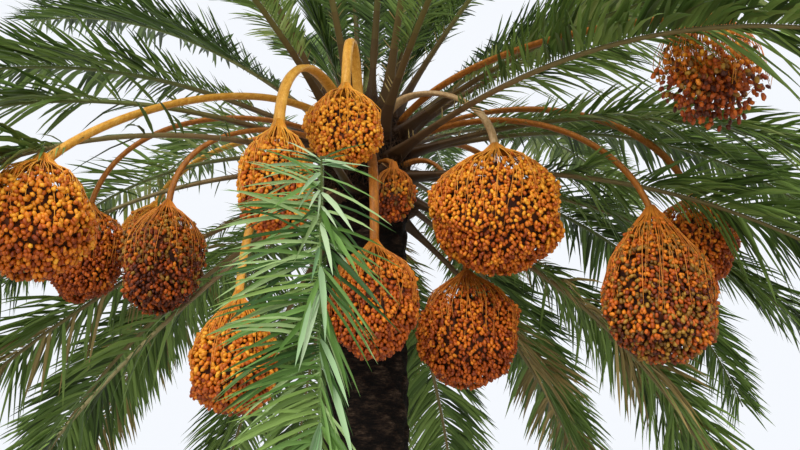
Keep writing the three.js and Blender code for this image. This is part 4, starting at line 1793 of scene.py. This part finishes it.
FOOT = {"lift": 62.0, "slide": 22.0}  # of a stalk that comes out above a living leaf base
BUNCHES = (
    Bunch("a", 0, leaf=29, lift=72, slide=26, arch=(60, 330), hang=620, lean=20,
          end=(-80, -640, 3520), width=50, size=(215, 155, 400), ripeness_and_shade=RipenessAndShade.GOLD,
          stalk=StalkKind.BRIGHT),
    Bunch("b", 1, leaf=29, lift=0, slide=-14, arch=(150, 330), hang=560, lean=0,
          end=(-345, -950, 3170), width=56, size=(180, 160, 520), ripeness_and_shade=RipenessAndShade.AMBER,
          stalk=StalkKind.BRIGHT),
    Bunch("c", 2, leaf=42, lift=10, slide=-4, arch=(250, 180), hang=700, lean=0,
          end=(-500, -800, 2440), width=44, size=(225, 205, 490), ripeness_and_shade=RipenessAndShade.AMBER,
          stalk=StalkKind.BRIGHT, outline=PEAR),
    Bunch("d", 3, leaf=37, lift=8, slide=-6, arch=(160, 60), hang=420, lean=0,
          end=(66, -610, 2730), width=46, size=(245, 190, 520), ripeness_and_shade=RipenessAndShade.RED,
          stalk=StalkKind.COPPER),
    Bunch("e", 4, leaf=24, **FOOT, arch=(60, 300), hang=380, lean=0,
          end=(657, -475, 3275), width=48, size=(365, 250, 640), ripeness_and_shade=RipenessAndShade.ORANGE,
          stalk=StalkKind.STRAW),
    Bunch("f", 5, leaf=40, lift=62, slide=24, arch=(200, 120), hang=520, lean=0,
          end=(524, -150, 2715), width=46, size=(300, 215, 570), ripeness_and_shade=RipenessAndShade.RUST,
          stalk=StalkKind.COPPER),
    Bunch("g", 6, leaf=27, **FOOT, arch=(450, 180), hang=520, lean=120,
          end=(1345, -640, 2885), width=46, size=(300, 245, 700), ripeness_and_shade=RipenessAndShade.BROWN,
          stalk=StalkKind.COPPER, outline=PEAR),
    Bunch("h", 7, leaf=22, **FOOT, arch=(500, 330), hang=560, lean=100,
          end=(1670, -300, 3080), width=44, size=(240, 210, 460), ripeness_and_shade=RipenessAndShade.RUST,
          stalk=StalkKind.COPPER),
    Bunch("i", 8, leaf=19, **FOOT, arch=(400, 320), hang=160, lean=300,
          end=(1455, -1240, 3530), width=44, size=(275, 215, 520), ripeness_and_shade=RipenessAndShade.RIPE,
          stalk=StalkKind.COPPER, cover=0.52, loose=0.9),
    Bunch("j", 9, leaf=34, **FOOT, arch=(300, 160), hang=480, lean=0,
          end=(-960, -400, 3000), width=44, size=(230, 200, 530), ripeness_and_shade=RipenessAndShade.OLIVE,
          stalk=StalkKind.COPPER),
    Bunch("k", 10, leaf=26, **FOOT, arch=(420, 200), hang=560, lean=60,
          end=(-1385, -300, 3030), width=42, size=(230, 195, 480), ripeness_and_shade=RipenessAndShade.RUST,
          stalk=StalkKind.COPPER),
    Bunch("l", 11, leaf=21, lift=62, slide=-30, arch=(520, 150), hang=330, lean=230,
          end=(-1208, -1253, 2871), width=54, size=(265, 220, 470), ripeness_and_shade=RipenessAndShade.AMBER,
          stalk=StalkKind.BRIGHT),
    Bunch("n", 12, leaf=45, lift=84, slide=-28, arch=(60, 10), hang=60, lean=0,
          end=(152, -335, 3235), width=40, size=(128, 96, 280), ripeness_and_shade=RipenessAndShade.RIPE,
          stalk=StalkKind.COPPER),
    Bunch("p", 13, leaf=30, **FOOT, arch=(260, 330), hang=300, lean=0,
          end=(830, 710, 3540), width=46, size=(250, 240, 480), ripeness_and_shade=RipenessAndShade.ORANGE,
          stalk=StalkKind.COPPER),
    Bunch("q", 14, leaf=33, **FOOT, arch=(260, 160), hang=480, lean=0,
          end=(-30, 930, 2900), width=48, size=(270, 250, 560), ripeness_and_shade=RipenessAndShade.RED,
          stalk=StalkKind.COPPER),
    Bunch("r", 15, leaf=23, **FOOT, arch=(450, 330), hang=330, lean=120,
          end=(-1430, 885, 3480), width=46, size=(240, 215, 500), ripeness_and_shade=RipenessAndShade.AMBER,
          stalk=StalkKind.BRIGHT),
)


@dataclass(frozen=True)
class Stalk:
    """The form of a fruit stalk, a flat strap with grooves along it."""

    taper: Span = (1.12, 0.9)  # its width from foot to end
    flat: Span = (0.42, 0.72)  # its thickness against its width
    grooves: int = 7
    groove: float = 0.07
    knot: float = 0.1  # how much thicker its end is
    knot_from: float = 0.94
    rows: int = 34
    columns: int = 14
    fine: int = 200  # points of its curve

    def add(self, bunch: Bunch, crown: Crown, sheaf: Sheaf, tone: int) -> None:
        """Adds a bunch's stalk to a piece.

        Args:
            bunch: the bunch.
            crown: where the stalk starts.
            sheaf: the piece.
            tone: the number of its finish.
        """
        foot, out, _ = crown.slot(bunch.leaf, bunch.lift, bunch.slide)
        start, stop = foot - out * SINK, np.array(bunch.end, float)
        ahead = unit((stop - start) * LEVEL)
        leave = start + ahead * bunch.arch[0] + UP * bunch.arch[1]
        arrive = stop - ahead * bunch.lean + UP * bunch.hang
        u = np.linspace(0, 1, self.rows)
        p = along_curve(pulled_curve(start, leave, arrive, stop, self.fine), u)
        t = unit(np.gradient(p, axis=0))
        side = square_to(np.cross(UP, out), t)
        half = bunch.width / 2 * mix(*self.taper, u)
        half = half * (1 + self.knot * smooth_step(self.knot_from, 1, u))
        a = around(self.columns)
        section = np.stack([np.cos(a), np.sin(a)], axis=-1)
        section = section * column(1 + self.groove * np.cos(self.grooves * a))
        grid = rings(p, side, np.cross(t, side), half, half * mix(*self.flat, u), section)
        sheaf.sweep(grid[None], tone, head=p[:1], tail=p[-1:])


@dataclass(frozen=True)
class Strands:
    """The strands that fan from a stalk's end and run down among the dates."""

    seed: int = 800
    count: int = 120
    more_if_loose: float = 0.5
    leave: float = 0.012  # how far down the bunch they leave its neck, as a share
    shortest: float = 0.16  # how far down it they end
    longer: float = 0.62  # how much further down the longest one ends
    few_long: float = 1.5  # the power that makes more of them short
    sway: float = 0.16  # in radians
    close_rows: float = 1.25  # the power that sets more of their points near the neck
    late_sink: float = 1.5  # the power that makes them sink in towards their ends
    proud: float = 5  # how far they start off the dates
    sunk: Span = (6, 20)  # how much further in they end
    loose_sunk: float = 190
    neck: float = 0.36  # how far apart they start, against the stalk's width
    above: float = 34  # how far up the stalk they start
    half: Span = (2.7, 1.4)  # half their thickness down the bunch
    half_foot: float = 3.2  # and at the stalk
    facing: tuple[float, float, float] = (0.31, 0.87, 0.38)  # a direction that no strand takes
    rows: int = 6
    columns: int = 3

    def add(self, bunch: Bunch, sheaf: Sheaf, strands: Palette) -> None:
        """Adds a bunch's strands to a piece.

        Args:
            bunch: the bunch.
            sheaf: the piece.
            strands: its finishes.
        """
        rng = np.random.default_rng(self.seed + bunch.key)
        count = int(self.count * (1 + self.more_if_loose * bunch.loose))
        a = np.arange(count) * math.radians(GOLDEN) % FULL_TURN
        reach = self.shortest + self.longer * rng.random(count) ** self.few_long
        s = np.linspace(0, 1, self.rows)
        v = self.leave + np.outer(reach - self.leave, s ** self.close_rows)
        turn = (a[:, None] + np.outer(rng.normal(0, self.sway, count), s)) % FULL_TURN
        point, face = (values.reshape(count, len(s), 3)
                       for values in bunch.surface(v.reshape(-1), turn.reshape(-1)))
        inwards = rng.uniform(*self.sunk, count) + self.loose_sunk * bunch.loose * rng.random(count)
        path = point + face * column(self.proud - np.outer(inwards, s ** self.late_sink))
        x, y, top = bunch.end
        neck = bunch.width * self.neck
        high = np.full(count, top + self.above)
        root = np.stack([x + neck * np.cos(a), y + neck * np.sin(a), high], axis=-1)
        path = np.concatenate([root[:, None], path], axis=1)
        t = unit(np.gradient(path, axis=1))
        side = square_to(np.broadcast_to(np.array(self.facing), t.shape), t)
        half = np.concatenate([[self.half_foot], np.linspace(*self.half, len(s))])
        spoke = spokes(side, np.cross(t, side), around(self.columns)) * half[:, None, None]
        tone = strands.deal(rng, (bunch.stalk, "strand"), count)
        sheaf.sweep(path[:, :, None] + spoke, tone, head=root, tail=path[:, -1])


@dataclass(frozen=True)
class Heart:
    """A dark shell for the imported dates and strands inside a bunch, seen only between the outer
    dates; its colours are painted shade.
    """

    seed: int = 700
    rows: int = 18
    columns: int = 30
    size: float = 0.83  # against the bunch
    rough: float = 0.08  # how much smaller than that it may be
    neck: float = 0.75  # its size at the neck against below
    neck_span: Span = (0.05, 0.35)  # where its neck ends, in shares of its height
    tip: float = 0.42  # how far its two ends lie from its middle, against the bunch's height

    def add(self, bunch: Bunch, sheaf: Sheaf, tones: int) -> None:
        """Adds a bunch's heart to a piece.

        Args:
            bunch: the bunch.
            sheaf: the piece.
            tones: how many finishes it has.
        """
        rng = np.random.default_rng(self.seed + bunch.key)
        row = 0.5 - 0.5 * np.cos(np.pi * np.arange(1, self.rows) / self.rows)
        v, a = (values.reshape(-1)
                for values in np.meshgrid(row, around(self.columns), indexing="ij"))
        point, _ = bunch.surface(v, a)
        middle = bunch.middle(0.5)
        share = self.size - self.rough * rng.random(len(point))
        share = share * mix(self.neck, 1, smooth_step(*self.neck_span, v))
        grid = (middle + (point - middle) * column(share)).reshape(len(row), self.columns, 3)
        # each row gets one of the painted-shade finishes at random
        tone = rng.integers(0, tones, (1, len(row) - 1))
        tip = UP * (bunch.size[2] * self.tip)
        sheaf.sweep(grid[None, :, ::-1], tone, head=(middle + tip)[None], tail=(middle - tip)[None])


@dataclass(frozen=True)
class Dates:
    """The dates of a bunch, which sit in loose clumps."""

    seed: int = 900
    per_m2: float = 2950  # on a full bunch
    bulge: float = 0.9  # a bunch's surface against a straight one of its width
    stray: Span = (0.05, 0.006)  # how far off their spiral they sit, in radians and down the bunch
    neck: Span = (0.02, 0.32)  # between these shares of the height they get as thick as below
    neck_share: float = 0.1  # how many sit higher up
    bare: float = 0.05  # the share of the height at the top that has none of those
    half_long: Span = (14, 17)
    slim: Span = (0.6, 0.72)  # half the width against half the length
    form: Rows = ((-0.5, 0.82), (0.45, 0.86))  # rings along a date, and their share of its width
    columns: int = 5
    sunk: float = 8
    sunk_vary: float = 22
    few_deep: float = 1.3  # the power that makes fewer of them sit deep
    loose_sunk: float = 190
    clump_waves: int = 8
    clump_size: float = 4.5  # how fine the clumps are
    clump_scale: float = 2.6  # brings the sum of the waves mostly to -1 to 1
    clump_lift: float = 9
    outwards: float = 0.5
    downwards: float = 0.7
    unsteady: float = 0.45
    ripe_vary: float = 0.35  # how much ripeness differs from date to date, in zones of the bunch
    clump_ripeness_and_shade: float = 0.45  # and from clump to clump, darker in the clumps that sit deeper: partly ripeness, partly painted shade

    def places(self, bunch: Bunch, rng: np.random.Generator) -> tuple[Array, Array]:
        """Spreads a bunch's dates over it.

        Args:
            bunch: the bunch.
            rng: where the draws come from.

        Returns:
            Shares of the bunch's height from the neck down, and angles round it in radians.
        """
        rx, ry, height = bunch.size
        area = math.pi * (rx + ry) * height * self.bulge * MM ** 2
        count = int(area * self.per_m2 * bunch.cover)
        k = np.arange(count)
        a = np.radians(k * GOLDEN) + rng.normal(0, self.stray[0], count)
        v = np.clip((k + 0.5) / count + rng.normal(0, self.stray[1], count), 0, 1)
        thick = smooth_step(*self.neck, v) * (1 - self.neck_share)
        thick = thick + self.neck_share * (v > self.bare)
        keep = rng.random(count) < thick
        return v[keep], a[keep] % FULL_TURN

    def add(self, bunch: Bunch, sheaf: Sheaf, fruits: Palette) -> None:
        """Adds a bunch's dates to a piece.

        Args:
            bunch: the bunch.
            sheaf: the piece.
            fruits: its finishes.
        """
        rng = np.random.default_rng(self.seed + bunch.key)
        v, a = self.places(bunch, rng)
        count = len(v)
        point, face = bunch.surface(v, a)
        waves = rng.normal(0, self.clump_size, (self.clump_waves, 3))
        phase = rng.uniform(0, FULL_TURN, self.clump_waves)
        clump = np.cos(face @ waves.T + phase).sum(axis=1) / self.clump_scale
        depth = self.sunk + self.sunk_vary * rng.random(count) ** self.few_deep
        depth = (depth - self.clump_lift * clump
                 + self.loose_sunk * bunch.loose * rng.random(count))
        hang = face * self.outwards - UP * self.downwards
        axis = unit(hang + rng.normal(0, self.unsteady, (count, 3)))
        middle = point - face * column(depth)
        side = square_to(rng.normal(0, 1, (count, 3)), axis)
        long = rng.uniform(*self.half_long, count)
        wide = long * rng.uniform(*self.slim, count)
        spoke = spokes(side, np.cross(axis, side), around(self.columns)) * wide[:, None, None]
        end = axis * column(long)
        grid = np.stack([(middle + end * along)[:, None] + spoke * share
                         for along, share in self.form], axis=1)
        # the zones run from the neck down, darker towards the foot as painted shade
        zones = bunch.ripeness_and_shade.value
        # dates in sunken clumps get darker shades, partly as ripeness and partly as painted shade
        zone = v * len(zones) + rng.normal(0, self.ripe_vary, count) - self.clump_ripeness_and_shade * clump
        zone = np.clip(zone.astype(int), 0, len(zones) - 1)
        tone = fruits.deal_groups(rng, zones, zone)
        sheaf.sweep(grid, tone, head=middle - end, tail=middle + end)


@dataclass(frozen=True)
class Fruit:
    """All fruit: stalks, strands, hearts and dates, over the solids' stalks and bunches."""

    crown: Crown
    nodes: dict[str, bpy.types.Object]
    bunches: tuple[Bunch, ...] = BUNCHES
    pieces: int = 4

    def build_stalks(self) -> None:
        """Makes the stalks in place of their solids, and the strands at their ends."""
        kinds = list(STALK_FINISHES)
        palette = Palette.of("strand", STRAND_COLOURS, roughness=0.5)
        stalk, strands = Stalk(), Strands()
        stalk_sheaf, strand_sheaf = Sheaf(), Sheaf()
        for bunch in self.bunches:
            stalk.add(bunch, self.crown, stalk_sheaf, kinds.index(bunch.stalk))
            strands.add(bunch, strand_sheaf, palette)
        finishes = [STALK_FINISHES[kind].make() for kind in kinds]
        piece = stalk_sheaf.build("fruit_stalks", finishes)
        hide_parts(*(name for name in self.nodes if name.startswith("stalk")))
        strand_sheaf.build("fruit_strands", palette.finishes)

    def build_hearts(self) -> None:
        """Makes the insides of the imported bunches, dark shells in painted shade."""
        sheaf = Sheaf()
        for bunch in self.bunches:
            if not bunch.loose:
                Heart().add(bunch, sheaf, len(HEART_SHADE_COLOURS))
        finishes = [Plain(f"bunch_heart_shade_{k + 1}", colour, roughness=0.8).make()
                    for k, colour in enumerate(HEART_SHADE_COLOURS)]
        sheaf.build("bunch_hearts", finishes)

    def build_dates(self) -> None:
        """Makes the dates in place of the bunches' solids."""
        fruits = Palette.of("date", FRUIT_COLOURS, roughness=0.45, shine=0.35)
        size = len(self.bunches) // self.pieces
        for k in range(self.pieces):
            sheaf = Sheaf()
            mine = self.bunches[k * size:(k + 1) * size]
            for bunch in mine:
                Dates().add(bunch, sheaf, fruits)
            piece = sheaf.build(f"dates_{k + 1}", fruits.finishes)
            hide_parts(*(f"bunch_{bunch.letter}" for bunch in mine))

    def build(self) -> None:
        """Makes all of it."""
        self.build_stalks()
        self.build_hearts()
        self.build_dates()


# The camera, the light and the floor


@dataclass(frozen=True)
class Sun:
    """An even light from far away."""

    name: str
    turn: float  # the compass angle that it stands at
    height: float  # how high it stands over the horizon
    strength: float
    spread: float  # how wide it is, which makes its shadows soft

    def build(self) -> None:
        """Makes the light."""
        data = bpy.data.lights.new(self.name, "SUN")
        data.energy, data.angle = self.strength, math.radians(self.spread)
        sun = bpy.data.objects.new(self.name, data)
        sun.rotation_euler = (math.radians(90 - self.height), 0, math.radians(self.turn + 90))
        bpy.context.scene.collection.objects.link(sun)


@dataclass(frozen=True)
class Studio:
    """The camera at the photograph's angle, plain soft lights and a pale floor."""

    eye: tuple[float, float, float] = (0.185, -4.2, 1.6)  # in metres
    pitch: float = 19
    lens: float = 36.9
    sensor: float = 36
    clip: Span = (0.05, 100)  # in metres
    air: tuple[float, float, float, float] = (0.92, 0.95, 1.0, 1)  # the even light's colour
    suns: tuple[Sun, ...] = (
        Sun("key", -121, 37, 2.1, 30),
        Sun("front", -80, 4, 0.9, 40),
        Sun("back", 63, 34, 1.4, 35),
    )
    floor: Plain = Plain("floor", "bdbcb8", roughness=0.9, shine=0.1)
    floor_half: float = 900  # in metres

    def build_camera(self) -> None:
        """Makes the camera."""
        data = bpy.data.cameras.new("camera")
        data.lens, data.sensor_width = self.lens, self.sensor
        data.clip_start, data.clip_end = self.clip
        camera = bpy.data.objects.new("camera", data)
        camera.location = self.eye
        camera.rotation_euler = (math.radians(90 + self.pitch), 0, 0)
        bpy.context.scene.collection.objects.link(camera)
        bpy.context.scene.camera = camera

    def build_light(self) -> None:
        """Makes the world's even light and the suns."""
        world = bpy.data.worlds.new("studio")
        world.use_nodes = True
        background = world.node_tree.nodes["Background"]
        background.inputs["Color"].default_value = self.air
        background.inputs["Strength"].default_value = 1.0
        bpy.context.scene.world = world
        bpy.context.scene.view_settings.view_transform = "Standard"
        for sun in self.suns:
            sun.build()

    def build_floor(self) -> None:
        """Makes the plain pale floor."""
        mesh = bpy.data.meshes.new("floor")
        h = self.floor_half
        mesh.from_pydata([(-h, -h, 0), (h, -h, 0), (h, h, 0), (-h, h, 0)], [], [(0, 1, 2, 3)])
        mesh.materials.append(self.floor.make())
        floor = bpy.data.objects.new("floor", mesh)
        bpy.context.scene.collection.objects.link(floor)
        floor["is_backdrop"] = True


def corners() -> list[list[float]]:
    """Returns the shown object's lowest and highest corners, in metres."""
    return [list(corner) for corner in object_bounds()]


def main() -> None:
    """Builds the palm and its studio."""
    logging.basicConfig(level=logging.INFO, format="%(name)s %(message)s")
    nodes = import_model()["nodes"]
    solid = corners()
    studio = Studio()
    studio.build_camera()
    crown = Crown()
    low, high = (np.array(corner) / MM for corner in solid)
    Trunk(crown).build()
    grown_out = Foliage(crown, nodes, (low - STAND_OUT, high + STAND_OUT)).build()
    CutBases(crown).build(grown_out)
    CrownFibre(crown).build()
    Spear(crown).build()
    Fruit(crown, nodes).build()
    studio.build_light()
    studio.build_floor()


if __name__ == "__main__":
    main()
